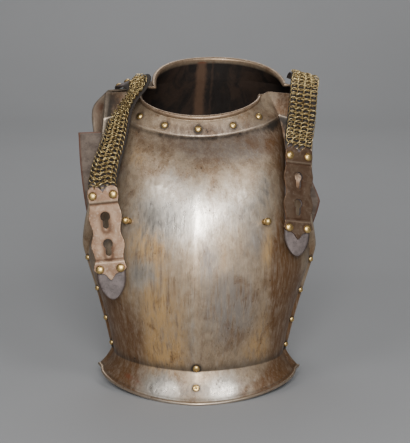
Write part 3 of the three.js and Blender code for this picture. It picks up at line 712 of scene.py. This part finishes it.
def add_ring(points, faces, centre, e1, e2, radius):
    """A wire ring in the plane of two axes, added to the points and faces."""
    sides, section, wire = LINK["sides"], LINK["section"], LINK["wire"]
    e3 = np.cross(e1, e2)
    base = len(points)
    for i in range(sides):
        a = 2 * math.pi * i / sides
        out = e1 * math.cos(a) + e2 * math.sin(a)
        for j in range(section):
            b = 2 * math.pi * j / section
            points.append(centre + out * (radius + wire * math.cos(b)) + e3 * wire * math.sin(b))
    faces += [tuple(base + k % (sides * section) for k in face) for face in grid_faces(sides + 1, section)]


def link_rings(name, stations, start, end, height, mail):
    """Brass mail, four links through each: rows of links along the strap that lean by turns up and
    down it and wave across it. Near the shoulder the mail is gathered."""
    lengths = [station[3] for station in stations]
    lines = [np.array([station[k] for station in stations]) for k in (0, 1, 2, 4)]
    rnd = random.Random(name)
    points, faces = [], []
    count = int((end - start) / mail["along"]) + 1
    wave = 2 * math.pi / (mail["columns"] * mail["across"])
    for column in range(mail["columns"]):
        odd = column % 2
        for k in range(count + 1 - odd):
            along = end - MAIL_EDGE - (k + odd / 2) * mail["along"]
            if along < start:
                continue
            at, across, normal, tangent = (
                np.array([np.interp(along, lengths, line[:, axis]) for axis in range(3)]) for line in lines)
            pull = bell(along, start, mail["gather"])  # 1 where the mail is gathered most
            off = (column - (mail["columns"] - 1) / 2) * mail["across"] * (1 - mail["narrow"] * pull)
            at = at - tangent * mail["wave"] * math.sin(wave * off)
            off += MAIL_SWAY * math.sin(along / 13 + 2) + rnd.uniform(-LOOSE["across"], LOOSE["across"])
            rise = height + rnd.uniform(-LOOSE["down"], LOOSE["up"])
            rise += pull * (MAIL_FOLD * math.sin(off / 2.6 + along / 9) - MAIL_SUNK)
            tilt = mail["lean"] * (1 - 0.45 * pull) + rnd.uniform(-LOOSE["lean"], LOOSE["lean"])
            turn = math.atan(-mail["wave"] * wave * math.cos(wave * off))
            turn += rnd.uniform(-LOOSE["turn"], LOOSE["turn"])
            turn += LOOSE["gathered_turn"] * pull * rnd.uniform(-1, 1)
            e1 = across * math.cos(turn) + tangent * math.sin(turn)
            e2 = tangent * math.cos(turn) - across * math.sin(turn)
            e2 = e2 * math.cos(tilt) + normal * math.sin(tilt) * (1 if odd else -1)
            add_ring(points, faces, at + across * off + normal * rise, e1, e2, mail["radius"])
    return mesh_object(name, to_frame(points), faces)


# ---------------------------------------------------------------- materials
class Shader:
    """A material whose nodes are added and joined by short calls. Its noises are laid out in the
    row frame, with a size in metres for their features."""

    def __init__(self, name, metallic=0.0, roughness=0.5):
        self.material = bpy.data.materials.new(name)
        self.material.use_nodes = True
        self.tree = self.material.node_tree
        self.surface = self.tree.nodes["Principled BSDF"]
        self.place = self.tree.nodes.new("ShaderNodeTexCoord").outputs["Object"]
        self.set(Metallic=metallic, Roughness=roughness)

    def feed(self, socket, value):
        """Joins another node's output to the socket, or sets it to a plain value or colour."""
        if isinstance(value, bpy.types.NodeSocket):
            self.tree.links.new(value, socket)
        elif socket.type == "RGBA":
            socket.default_value = (*value, 1)
        else:
            socket.default_value = value

    def set(self, **values):
        """Feeds the surface's sockets and hands over the material."""
        for key, value in values.items():
            self.feed(self.surface.inputs[key.replace("_", " ")], value)
        return self.material

    def node(self, kind, inputs, **settings):
        node = self.tree.nodes.new("ShaderNode" + kind)
        for key, value in settings.items():
            setattr(node, key, value)
        for key, value in inputs.items():
            self.feed(node.inputs[key], value)
        return node

    def noise(self, size, tall=1, detail=3.0, roughness=0.55, distortion=0.0):
        """Noise whose features are tall times as high as they are wide."""
        place = self.node("Mapping", {"Vector": self.place, "Scale": (1, 1, 1 / tall)}).outputs[0]
        inputs = {"Vector": place, "Scale": 1 / size, "Detail": detail, "Roughness": roughness,
                  "Distortion": distortion}
        return self.node("TexNoise", inputs).outputs["Fac"]

    def cells(self, size):
        """Distance to the middle of the nearest cell."""
        return self.node("TexVoronoi", {"Vector": self.place, "Scale": 1 / size}).outputs["Distance"]

    def attribute(self, name):
        return self.node("Attribute", {}, attribute_name=name).outputs["Fac"]

    def between(self, value, low, high, to_low=0.0, to_high=1.0):
        """Smooth passage from to_low, where the value is at low or under it, to to_high at high."""
        inputs = {"Value": value, "From Min": low, "From Max": high, "To Min": to_low, "To Max": to_high}
        return self.node("MapRange", inputs, interpolation_type="SMOOTHSTEP").outputs[0]

    def maths(self, operation, *values):
        total = values[0]
        for value in values[1:]:
            total = self.node("Math", {0: total, 1: value}, operation=operation).outputs[0]
        return total

    def times(self, *values):
        return self.maths("MULTIPLY", *values)

    def plus(self, *values):
        return self.maths("ADD", *values)

    def blend(self, amount, a, b):
        """Colour a where the amount is 0, b where it is 1."""
        return self.node("Mix", {0: amount, 6: a, 7: b}, data_type="RGBA").outputs[2]

    def relief(self, height, depth):
        """Fine relief, depth being in metres between heights of 0 and 1."""
        bump = self.node("Bump", {"Height": height, "Distance": depth})
        self.feed(self.surface.inputs["Normal"], bump.outputs[0])


BARE = (0.62, 0.57, 0.50)
FILM = (0.37, 0.272, 0.178)
OCHRE = (0.54, 0.335, 0.145)
UMBER = (0.155, 0.074, 0.029)
SLATE = (0.235, 0.203, 0.175)
SOOT_AND_SHADE = (0.035, 0.028, 0.022)
RUST = (0.22, 0.06, 0.025)


def dimmed(colour, by):
    return tuple(by * c for c in colour)


def steel():
    """Old bright steel, polished up and down. A thin brown film lies on it, ochre, umber and slate by
    turns, and lets the clean metal through where it is rubbed; these rubbed spots lie where the lights'
    reflections fall, so they are partly a painted highlight. Dirty marks and painted shade darken it in
    creases, round the rivets and by the straps. Inside it is rusty, on a near-black that is painted shade."""
    s = Shader("steel")
    inside = s.attribute("inside")
    fine = s.noise(0.0011, 16, 3, 0.6)
    streak = s.noise(0.0045, 14, 4, 0.62)
    cloud = s.noise(0.028, 1.6, 5, 0.62, 0.6)
    mottle = s.noise(0.009, 1.4, 5, 0.68, 0.3)
    ragged = s.plus(s.times(cloud, 0.35), s.times(streak, 0.4), s.times(mottle, 0.25))

    def stain(name):
        """Where a stain shows: its weight set against noise, so that its edge is ragged."""
        return s.between(s.plus(s.attribute(name), ragged), 0.7, 1.3)

    # The film thins on the rubbed spots, which lie where the lights' reflections fall: partly a painted
    # highlight.
    cover = s.maths("SUBTRACT", s.plus(s.times(ragged, 1.6), 0.2), s.times(s.attribute("bare_and_highlight"), 0.8))
    cover = s.between(cover, 0.1, 1.05)
    cover = s.times(cover, s.between(fine, 0.55, 0.75, 1.0, 0.72), s.between(streak, 0.58, 0.8, 1.0, 0.6))

    film = s.blend(s.between(mottle, 0.3, 0.7), FILM, dimmed(FILM, 0.72))
    for name, tint in (("ochre", OCHRE), ("slate", SLATE), ("umber", UMBER)):
        film = s.blend(s.times(stain(name), s.between(streak, 0.36, 0.56, 0.5, 0.95)), film, tint)
    film = s.blend(s.between(cloud, 0.5, 0.72, 0.0, 0.6), film, UMBER)
    film = s.blend(s.between(streak, 0.28, 0.48, 0.5, 0.0), film, UMBER)
    bare_and_highlight = s.blend(s.between(mottle, 0.35, 0.7), BARE, dimmed(BARE, 0.8))
    colour = s.blend(cover, bare_and_highlight, film)

    lines = s.noise(0.0012, 60, 3, 0.6)
    lines = s.times(s.between(lines, 0.54, 0.7), s.between(cloud, 0.38, 0.6, 0.15, 0.6))
    colour = s.blend(lines, colour, dimmed(UMBER, 0.6))
    pits = s.times(s.between(s.cells(0.0065), 0.1, 0.26, 1.0, 0.0), s.between(cloud, 0.52, 0.62))
    # Dark marks: soot, pits and dirty lines in creases and round rivets, together with painted shade in the
    # creases, round the rivet heads, beside and under the straps and round the armholes.
    dark = s.between(s.plus(stain("soot_and_shade"), s.attribute("grime_and_shade"), s.times(pits, 0.6)), 0.0, 1.1)
    colour = s.blend(dark, colour, SOOT_AND_SHADE)
    rusty = s.times(stain("rust"), 0.9)
    colour = s.blend(rusty, colour, RUST)
    worn = s.times(s.attribute("edge"), s.between(mottle, 0.3, 0.62, 0.4, 1.0))
    colour = s.blend(worn, colour, (0.52, 0.42, 0.32))
    roll = s.times(s.attribute("roll"), s.between(mottle, 0.25, 0.6, 0.35, 0.85))
    colour = s.blend(roll, colour, (0.22, 0.142, 0.088))
    # The inside: rust on a near-black that is painted shade.
    inside_rust_and_shade = s.blend(s.between(cloud, 0.4, 0.62), (0.014, 0.010, 0.008), (0.035, 0.021, 0.014))
    inside_rust_and_shade = s.blend(rusty, inside_rust_and_shade, (0.105, 0.058, 0.034))
    colour = s.blend(inside, colour, inside_rust_and_shade)

    oxide = s.times(s.between(s.plus(cover, dark), 0.0, 1.0), s.maths("SUBTRACT", 1.0, worn))
    metal = s.maths("SUBTRACT", 1.0, s.plus(s.times(oxide, 0.3), s.times(inside, 0.3)))
    rough = s.plus(0.3, s.times(oxide, 0.14), s.between(streak, 0.3, 0.7, -0.04, 0.05), s.times(inside, 0.2))
    rust_relief = s.times(mottle, s.plus(s.times(inside, 0.5), 0.4))
    s.relief(s.plus(s.times(fine, 0.35), s.times(streak, 0.9), rust_relief), 0.0002)
    return s.set(Base_Color=colour, Metallic=metal, Roughness=rough)


def brass(name, bright, dirt_and_shade, roughness, grime_and_shade_up):
    """Cast or turned brass, dull and darker where its height, from 0 at its base to 1, is under
    grime_and_shade_up: dirty there, and painted shade at the base of a rivet's head and on a stud's post.
    """
    s = Shader(name, 1.0)
    mottle = s.noise(0.0022, detail=4)
    colour = s.blend(s.between(mottle, 0.35, 0.65), bright, dimmed(bright, 0.78))
    # Darker and rougher towards the base: dirty there, and painted shade at the base of each rivet head and
    # on each stud's post.
    low = s.between(s.attribute("up"), grime_and_shade_up, grime_and_shade_up + 0.3, 1.0, 0.0)
    colour = s.blend(s.times(low, s.between(mottle, 0.3, 0.6, 1.0, 0.7)), colour, dirt_and_shade)
    s.relief(s.noise(0.0008, detail=2), 0.00002)
    return s.set(Base_Color=colour, Roughness=s.plus(roughness, s.times(low, 0.25), s.times(mottle, 0.08)))


def sheet_brass():
    """Sheet brass with its old copper-red film, lighter on its folds' crests as a painted highlight, and
    darker where it is dirty and painted with shade, in its grooves, round its keyholes and round its rivets.
    """
    s = Shader("sheet_brass", 1.0)
    cloud = s.noise(0.012, 1.5, 4, 0.6, 0.5)
    mottle = s.noise(0.0035, detail=5, roughness=0.65)
    scratch = s.noise(0.0009, 12, 2)
    colour = s.blend(s.between(cloud, 0.35, 0.65), (0.225, 0.15, 0.1), (0.155, 0.092, 0.058))
    colour = s.blend(s.between(mottle, 0.5, 0.72, 0.0, 0.6), colour, (0.33, 0.26, 0.2))
    colour = s.blend(s.between(mottle, 0.24, 0.42, 0.7, 0.0), colour, (0.12, 0.065, 0.04))
    # Painted highlight along the folds' crests, then dirty marks with painted shade in the grooves, round the
    # keyholes and round the heads.
    colour = s.blend(s.times(s.attribute("fold"), 0.55), colour, (0.55, 0.42, 0.3))
    colour = s.blend(s.attribute("grime_and_shade"), colour, (0.07, 0.035, 0.02))
    s.relief(s.plus(s.times(scratch, 0.3), mottle), 0.00006)
    rough = s.plus(0.36, s.times(mottle, 0.16), s.times(s.attribute("grime_and_shade"), 0.2))
    return s.set(Base_Color=colour, Roughness=rough)


def wire():
    """Drawn brass wire, gold where it rubs, brown where it is dirty."""
    s = Shader("wire", 1.0)
    mottle = s.noise(0.004, detail=4, roughness=0.6)
    colour = s.blend(s.between(mottle, 0.36, 0.62), (0.6, 0.47, 0.23), (0.26, 0.18, 0.08))
    s.relief(s.noise(0.0009, detail=2), 0.00002)
    return s.set(Base_Color=colour, Roughness=s.plus(0.34, s.times(mottle, 0.15)))


def leather(name, face, worn, cut_edge, roughness):
    """Old harness leather: fine pebbles, cracks across it, rubbed patches and a raw cut edge."""
    s = Shader(name)
    pebble = s.cells(0.0012)
    crease = s.noise(0.005, 0.5, 4, 0.6, 1.2)
    patch = s.noise(0.014, detail=4, roughness=0.6)
    colour = s.blend(s.between(patch, 0.38, 0.66), face, worn)
    colour = s.blend(s.between(crease, 0.3, 0.44, 0.6, 0.0), colour, dimmed(face, 0.35))
    colour = s.blend(s.between(crease, 0.56, 0.72, 0.0, 0.5), colour, worn)
    colour = s.blend(s.between(s.attribute("rim"), 0.45, 0.9, 0.0, 0.85), colour, cut_edge)
    # Painted shade: under its mail the leather is painted nearly black.
    shade_under_mail = s.attribute("shade_under_mail")
    colour = s.blend(s.times(shade_under_mail, 0.9), colour, (0.02, 0.016, 0.013))
    s.relief(s.plus(s.times(pebble, 0.35), s.times(crease, 0.9), s.times(patch, 0.4)), 0.0004)
    rough = s.plus(roughness, s.times(patch, 0.2), s.times(shade_under_mail, 0.3))
    return s.set(Base_Color=colour, Roughness=rough, Specular_IOR_Level=0.3)


STEEL = steel()
BRASS = brass("brass", (0.72, 0.5, 0.2), (0.17, 0.1, 0.04), 0.34, 0.12)
SHEET_BRASS = sheet_brass()
WIRE = wire()
STRAP_LEATHER = leather("strap_leather", face=(0.08, 0.064, 0.06), worn=(0.135, 0.108, 0.102),
                        cut_edge=(0.045, 0.03, 0.024), roughness=0.5)
BELT_LEATHER = leather("belt_leather", face=(0.085, 0.062, 0.048), worn=(0.15, 0.115, 0.09),
                       cut_edge=(0.12, 0.05, 0.03), roughness=0.55)


# Marks on the outside of each plate, stains and painted shade: middle x and z in its own frame, half width
# and height, weight
STAINS = {
    "breast_plate": {
        # Rubbed spots, laid where the lights' reflections fall on the chest and on the waist flange, so
        # partly a painted highlight.
        "bare_and_highlight": [(-3, 250, 34, 34, 0.95), (-52, 250, 34, 34, 0.7), (56, 258, 34, 30, 0.6),
            (-30, 292, 22, 16, 0.3), (-46, 14, 24, 18, 1.2), (36, 15, 22, 18, 1.2),
            (-72, 172, 15, 18, 0.85), (-104, 196, 10, 14, 0.5), (-126, 214, 8, 10, 0.5),
            (-5, 130, 3, 80, 0.2), (88, 285, 12, 24, 0.35)],
        "ochre": [(-52, 125, 26, 80, 0.7), (-66, 215, 30, 24, 0.6), (-20, 100, 14, 60, 0.35),
            (35, 186, 12, 34, 0.5), (92, 208, 10, 30, 0.75), (-50, 60, 40, 24, 0.45),
            (75, 66, 26, 30, 0.45), (-98, 150, 18, 60, 0.35), (-126, 250, 12, 14, 0.6),
            (-80, 318, 26, 22, 0.4), (-50, 350, 26, 10, 0.4), (66, 352, 26, 10, 0.4),
            (92, 110, 20, 60, 0.35)],
        "slate": [(44, 130, 44, 66, 0.8), (16, 200, 16, 34, 0.5), (78, 220, 20, 30, 0.6),
            (70, 330, 44, 24, 0.6), (-30, 160, 10, 60, 0.3), (-105, 300, 20, 30, 0.45),
            (-92, 225, 14, 22, 0.5), (10, 326, 40, 18, 0.5), (0, 15, 150, 16, 0.55),
            (10, 346, 110, 20, 0.6), (112, 385, 16, 26, 0.6), (-112, 385, 16, 26, 0.6)],
        "umber": [(-126, 362, 14, 50, 0.95), (126, 350, 16, 50, 0.75), (0, 352, 120, 18, 0.5),
            (-40, 328, 34, 14, 0.35), (44, 322, 50, 20, 0.4), (-104, 80, 30, 80, 0.8),
            (-82, 60, 24, 50, 0.4), (112, 80, 20, 110, 0.8), (-128, 120, 14, 60, 0.8),
            (128, 120, 16, 90, 0.9), (116, 200, 14, 40, 0.8), (116, 300, 10, 50, 0.7),
            (-104, 306, 12, 14, 0.5), (8, 312, 14, 18, 0.3), (100, 335, 16, 20, 0.5),
            (112, 160, 12, 70, 0.6), (-105, 15, 26, 16, 0.8), (104, 15, 34, 16, 0.8),
            (-4, 14, 9, 16, 0.4), (112, 385, 16, 26, 0.5), (-112, 385, 16, 26, 0.5)],
        # Soot and shade: a few small dark spots, a darker neck band, and painted shadow beside the straps and
        # their tongues, under the straps at the shoulders and behind the right keyhole plate's lower keyhole.
        # Slate and umber also lie at the spots under the straps at the shoulders.
        "soot_and_shade": [(-128, 365, 10, 40, 0.55), (-106, 150, 10, 34, 0.4), (-126, 232, 14, 26, 0.42),
            (112, 215, 10, 34, 0.4), (22, 285, 2.5, 3, 0.6), (-106, 296, 3, 3, 0.6),
            (98, 352, 12, 10, 0.35), (0, 350, 120, 18, 0.46), (114, 386, 16, 26, 0.5),
            (-114, 386, 16, 26, 0.5), (8, 314, 20, 20, 0.38), (-44, 322, 20, 14, 0.3)],
        "rust": [(-92, 22, 9, 5, 0.6), (-78, 18, 6, 3, 0.5), (70, 45, 10, 3, 0.3), (58, 22, 5, 4, 0.4)],
    },
    "back_plate": {
        "bare_and_highlight": [(0, 190, 40, 50, 0.7), (60, 250, 26, 40, 0.6), (-40, 14, 34, 16, 0.9),
            (30, 14, 30, 16, 0.8)],
        "ochre": [(40, 120, 26, 70, 0.7), (-70, 230, 24, 50, 0.6)],
        "slate": [(0, 90, 60, 50, 0.6), (-20, 280, 40, 60, 0.5), (140, 340, 40, 60, 0.8)],
        "umber": [(-60, 120, 50, 110, 0.6), (90, 150, 40, 120, 0.8), (30, 330, 90, 40, 0.5),
            (-100, 300, 40, 80, 0.7)],
        # Darker spots low at both sides of the waist edge.
        "soot_and_shade": [(80, 16, 20, 12, 0.4), (-80, 16, 20, 12, 0.4)],
        "rust": [(168, 370, 16, 30, 0.5), (150, 60, 10, 6, 0.4), (-60, 40, 12, 4, 0.4)],
    },
}
# Round the armholes the soot, umber and slate darken the plate further, partly as painted shade where the
# armhole flanges turn away from the light.
ARMHOLE = {  # more of them round the armholes
    "breast_plate": {"umber": 0.7, "slate": 0.6, "soot_and_shade": 0.35},
    "back_plate": {"umber": 0.5, "soot_and_shade": 0.45},
}
INSIDE_RUST = {  # down the inside: middle x, half width, weight
    "breast_plate": [(40, 30, 0.4)],
    "back_plate": [(11, 9, 0.9), (-6, 3, 0.45)],
}
UNEVEN, UNEVEN_SIZE = 0.00028, 0.036  # how far the sheet strays from its form, and over what distance


# ---------------------------------------------------------------- the pieces
def finish_piece(obj, material, node):
    """Gives a piece its material and its place in the frame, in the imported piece's stead."""
    obj.data.materials.clear()
    obj.data.materials.append(material)
    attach(obj, "root")
    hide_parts(node)


def head_kind(node):
    if node.startswith("plate_rivet"):
        return "strap"
    if node.startswith("shoulder"):
        return "shoulder"
    return "side" if "_right_rivet" in node or "_left_rivet" in node else "neck"


def head_grime_and_shade(at):
    """Dark rings round the heads of the rivets, where the steel is dirty and where painted shade lies round
    each head.
    """
    grime_and_shade = 0
    for node, radius in HEADS.items():
        away = np.linalg.norm(at - np.array(seat_of(node)[0]), axis=1) * 1000
        grime_and_shade += 0.7 * bell(np.maximum(away - radius, 0), 0, 2.6)
    return grime_and_shade


def dent(plate, row, inside):
    """Slight unevenness of the sheet. It fades out towards the bead and the neck roll."""
    at = coords(plate)
    normals = np.zeros(at.size, np.float32)
    plate.data.vertices.foreach_get("normal", normals)
    normals = normals.reshape(-1, 3) * np.where(inside > 0.5, -1, 1)[:, None]
    waves = np.array([UNEVEN * noise.noise(Vector(p) / UNEVEN_SIZE) for p in at])
    waves *= np.clip(row * 4, 0, 1) * np.clip((ROLL_ROW - row) * 4, 0, 1)
    moved = at + normals * waves[:, None]
    plate.data.vertices.foreach_set("co", moved.astype(np.float32).ravel())
    plate.data.update()
    return at


def dress_plate(plate, node, place):
    """What the plate's steel needs to know: its inside, worn edges, dark marks in its creases and round its
    rivets that are partly dirty and partly painted shade, and stains.
    """
    row, inside, column = (take_attribute(plate, name) for name in ("row", "inside", "column"))
    at = dent(plate, row, inside)
    body = np.clip((row - WAIST_ROW) * 20, 0, 1) * np.clip((NECK_ROW + 0.1 - row) * 20, 0, 1)
    outside = (inside < 0.5) | (column > FLANGE_FROM)
    edge = 0.6 * bell(row, NECK_ROW + 0.03, 0.02) + 0.8 * np.clip(-row * 5, 0, 1)
    edge += 0.7 * np.clip((column - CORE_COLUMNS - 1.5) * 2, 0, 1)
    # Dark lines in the creases under the neck band, at the waist and at the sides, a dark band low on the
    # waist flange and rings round the rivet heads: dirty marks, and painted shade in the creases and corners
    # and next to the floor.
    grime_and_shade = 0.5 * bell(row, NECK_ROW - 0.01, 0.012) + 0.6 * bell(row, WAIST_ROW, 0.03)
    grime_and_shade += 0.5 * bell(row, 0.1, 0.06) + 0.6 * bell(column, CORE_COLUMNS, 0.25) * body + head_grime_and_shade(at)
    roll = np.clip((row - ROLL_ROW) * 5, 0, 1) * ROLL_DARK[node]
    attribute(plate, "inside", inside * (column < FLANGE_FROM))
    for name, value in (("roll", roll), ("edge", edge), ("grime_and_shade", grime_and_shade)):
        attribute(plate, name, np.clip(value, 0, 1) * outside)

    own = unplaced(at * 1000 - SHIFT, place)
    armhole = np.clip((column - CORE_COLUMNS - 0.2) * 3, 0, 1) * body * np.clip((own[:, 2] - 240) / 30, 0, 1)
    spine = sum(weight * bell(own[:, 0], x, half) for x, half, weight in INSIDE_RUST[node])
    for kind, spots in STAINS[node].items():
        total = armhole * ARMHOLE[node].get(kind, 0)
        for x, z, half_x, half_z, weight in spots:
            total += weight * bell(own[:, 0], x, half_x) * bell(own[:, 2], z, half_z)
        within = spine if kind == "rust" else 0
        attribute(plate, kind, np.clip(np.where(outside, total, within), 0, 1))


def sheet_plate(node, points, values, place):
    columns, size = points.shape[:2]
    plate = mesh_object(f"{node}_sheet", to_frame(points.reshape(-1, 3)), plate_faces(columns, size))
    for k, name in enumerate(("row", "inside", "column")):
        attribute(plate, name, values[..., k])
    subdivide(plate)
    dress_plate(plate, node, place)
    finish_piece(plate, STEEL, node)


def rivet(node, radius):
    worn = node == "waist_rivet_lower"
    height = radius * HEAD_HEIGHT
    head = turned(f"{node}_head", [(r * radius, z * height) for r, z in (WORN_DOME if worn else DOME)])
    if worn:
        for vertex in head.data.vertices:  # two crossed hammer marks
            x, y, z = (v * 1000 for v in vertex.co)
            if z > 0.3 * height:
                mark = max(bell(x + 0.25 * y, 0.2, 0.5), bell(y - 0.25 * x, -0.2, 0.5))
                vertex.co.z -= 0.0007 * mark * max(0, 1 - (x * x + y * y) / radius**2)
    stand(head, node)
    finish_piece(head, BRASS, node)


def chest_stud(side):
    post, length, ball = STUD["post"], STUD["length"], STUD["ball"]
    foot = post + STUD["foot"]
    rise = math.sqrt(ball**2 - post**2)  # of the ball's middle over the post's end
    outline = [(0, 0), (foot, 0), (foot, 0.8), (post, 1.4), (post, length)]
    for a in np.linspace(-math.asin(rise / ball), math.pi / 2, 12)[1:-1]:
        outline.append((ball * math.cos(a), length + rise + ball * math.sin(a)))
    outline.append((0, length + rise + ball))
    stud = turned(f"chest_stud_{side}_ball", outline)
    stand(stud, f"chest_stud_{side}")
    finish_piece(stud, BRASS, f"chest_stud_{side}")


def shade_under_mail(hide, stations, plate_start):
    """1 where the hide lies under its mail, where it is painted nearly black as shade, from how far along the
    strap each vertex is.
    """
    middles = to_frame([station[0] for station in stations])
    lengths = np.array([station[3] for station in stations])
    nearest = [np.argmin(np.sum((middles - p) ** 2, axis=1)) for p in coords(hide)]
    past_mail = np.clip(lengths[nearest] - plate_start + 4, 0, None)
    return bell(past_mail, 0, 3) * np.clip((lengths[nearest] - CHAIN_FROM + 8) / 8, 0, 1)


def strap(side):
    """A strap's leather with its keyholes, its keyhole plate and its mail."""
    spec = STRAPS[side]
    stations = band_frame(spec["controls"], spec["tip"])
    total = stations[-1][3]
    straight = np.linalg.norm(np.array(spec["tip"]) - np.array(spec["controls"][-1][:3]))
    plate_start = total - float(straight)

    def width_at(along):
        left = min(1, (total - along) / STRAP["tongue"])
        return STRAP["width"] * max(0.06, math.sin(left * math.pi / 2) ** 0.58)

    hide = band(f"strap_leather_{side}_hide", stations, width_at, STRAP["thickness"])
    at, across, normal, _, tangent = next(s for s in stations if abs(s[3] - plate_start) < 1e-6)
    seat = (at, across, -tangent, normal)
    for down in KEYHOLES_DOWN:
        combine(hide, "DIFFERENCE", prism("hole", keyhole_outline(down), -10, 10, seat))
    attribute(hide, "shade_under_mail", shade_under_mail(hide, stations, plate_start))
    finish_piece(hide, STRAP_LEATHER, f"strap_leather_{side}")

    inner = STRAP["thickness"] / 2 + 2 * GAP
    finish_piece(keyhole_plate(side, seat, inner), SHEET_BRASS, f"keyhole_plate_{side}")
    links = link_rings(f"strap_chain_{side}_links", stations, CHAIN_FROM, plate_start + 1,
                       inner + CHAIN_RISE, MAIL[side])
    finish_piece(links, WIRE, f"strap_chain_{side}")


def belt(side):
    spec = BELTS[side]
    stations = band_frame(spec["controls"])
    total, point = stations[-1][3], spec["pointed"]

    def width_at(along):
        return BELT["width"] * (max(0.1, min(1, (total - along) / point)) if point else 1)

    hide = band(f"waist_belt_{side}_hide", stations, width_at, BELT["thickness"])
    finish_piece(hide, BELT_LEATHER, f"waist_belt_{side}")


HEADS = {node: HEAD[head_kind(node)] for node in sorted(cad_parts) if "rivet" in node}
sheet_plate("breast_plate", breast_points, breast_values, BREAST_PLACE)
sheet_plate("back_plate", back_points, back_values, BACK_PLACE)
for node, radius in HEADS.items():
    rivet(node, radius)
for build in (chest_stud, strap, belt):
    for side in ("right", "left"):
        build(side)


# ---------------------------------------------------------------- stage, light and camera
ROOM = {"half_width": 5, "front": -4, "wall": 3.6, "bend": 1.1, "height": 4}


def backdrop():
    """Plain pale floor that bends up into a wall with no edge to be seen."""
    profile = [(ROOM["front"], 0)]
    for a in np.linspace(0, math.pi / 2, 25):
        profile.append((ROOM["wall"] - ROOM["bend"] * (1 - math.sin(a)), ROOM["bend"] * (1 - math.cos(a))))
    profile.append((ROOM["wall"], ROOM["height"]))
    points = [(side * ROOM["half_width"], y, z) for side in (-1, 1) for y, z in profile]
    obj = mesh_object("backdrop", points, grid_faces(2, len(profile), closed=False))
    s = Shader("paper", 0.0, 0.85)
    paper = s.blend(s.noise(0.5), (0.235, 0.238, 0.242), (0.26, 0.262, 0.266))
    obj.data.materials.append(s.set(Base_Color=paper))


backdrop()
world = bpy.data.worlds.new("room")
bpy.context.scene.world = world
world.use_nodes = True
sky = world.node_tree.nodes["Background"].inputs
sky["Color"].default_value = (0.3, 0.3, 0.31, 1)
sky["Strength"].default_value = 0.45


LIGHTS = {  # where each stands, what it points to, its width and height, and its power
    "key": ((0.05, -2.1, 1.25), (0, 0, 0.24), (0.8, 0.6), 44),
    "low": ((0.0, -2.0, 0.6), (0, 0, 0.15), (1.4, 0.6), 19),
    "left": ((-1.2, -1.6, 2.0), (0, 0, 0.15), (0.7, 0.6), 11),
    "right": ((1.2, -1.6, 2.0), (0, 0, 0.15), (0.7, 0.6), 15),
    "wall": ((0.0, 1.9, 2.8), (0, 3.4, 1.2), (2.4, 0.6), 60),
    "behind": ((0.0, 1.5, 1.7), (0, 0, 0.25), (1.0, 0.5), 9),
}
CAMERA = {"elevation": math.radians(13), "aim": (0, -60, 200), "distance": 1.8, "lens": 106.78104,
          "shift_x": 0.01354402, "shift_y": 0.03819413}


def add_to_scene(name, data, place, target):
    """Object for a light or camera that looks from its place to its target."""
    obj = bpy.data.objects.new(name, data)
    bpy.context.scene.collection.objects.link(obj)
    obj.location = place
    obj.rotation_euler = (Vector(target) - Vector(place)).to_track_quat("-Z", "Y").to_euler()
    return obj


for name, (place, target, sizes, power) in LIGHTS.items():
    light = bpy.data.lights.new(name, "AREA")
    light.shape = "RECTANGLE"
    light.size, light.size_y = sizes
    light.energy = power
    add_to_scene(name, light, place, target)

lens = bpy.data.cameras.new("camera")
lens.sensor_fit = "VERTICAL"
lens.sensor_height = 36
lens.lens = CAMERA["lens"]
lens.shift_x, lens.shift_y = CAMERA["shift_x"], CAMERA["shift_y"]
aim = Vector(to_frame(CAMERA["aim"]))
back, up = -math.cos(CAMERA["elevation"]), math.sin(CAMERA["elevation"])
bpy.context.scene.camera = add_to_scene("camera", lens, aim + Vector((0, back, up)) * CAMERA["distance"], aim)
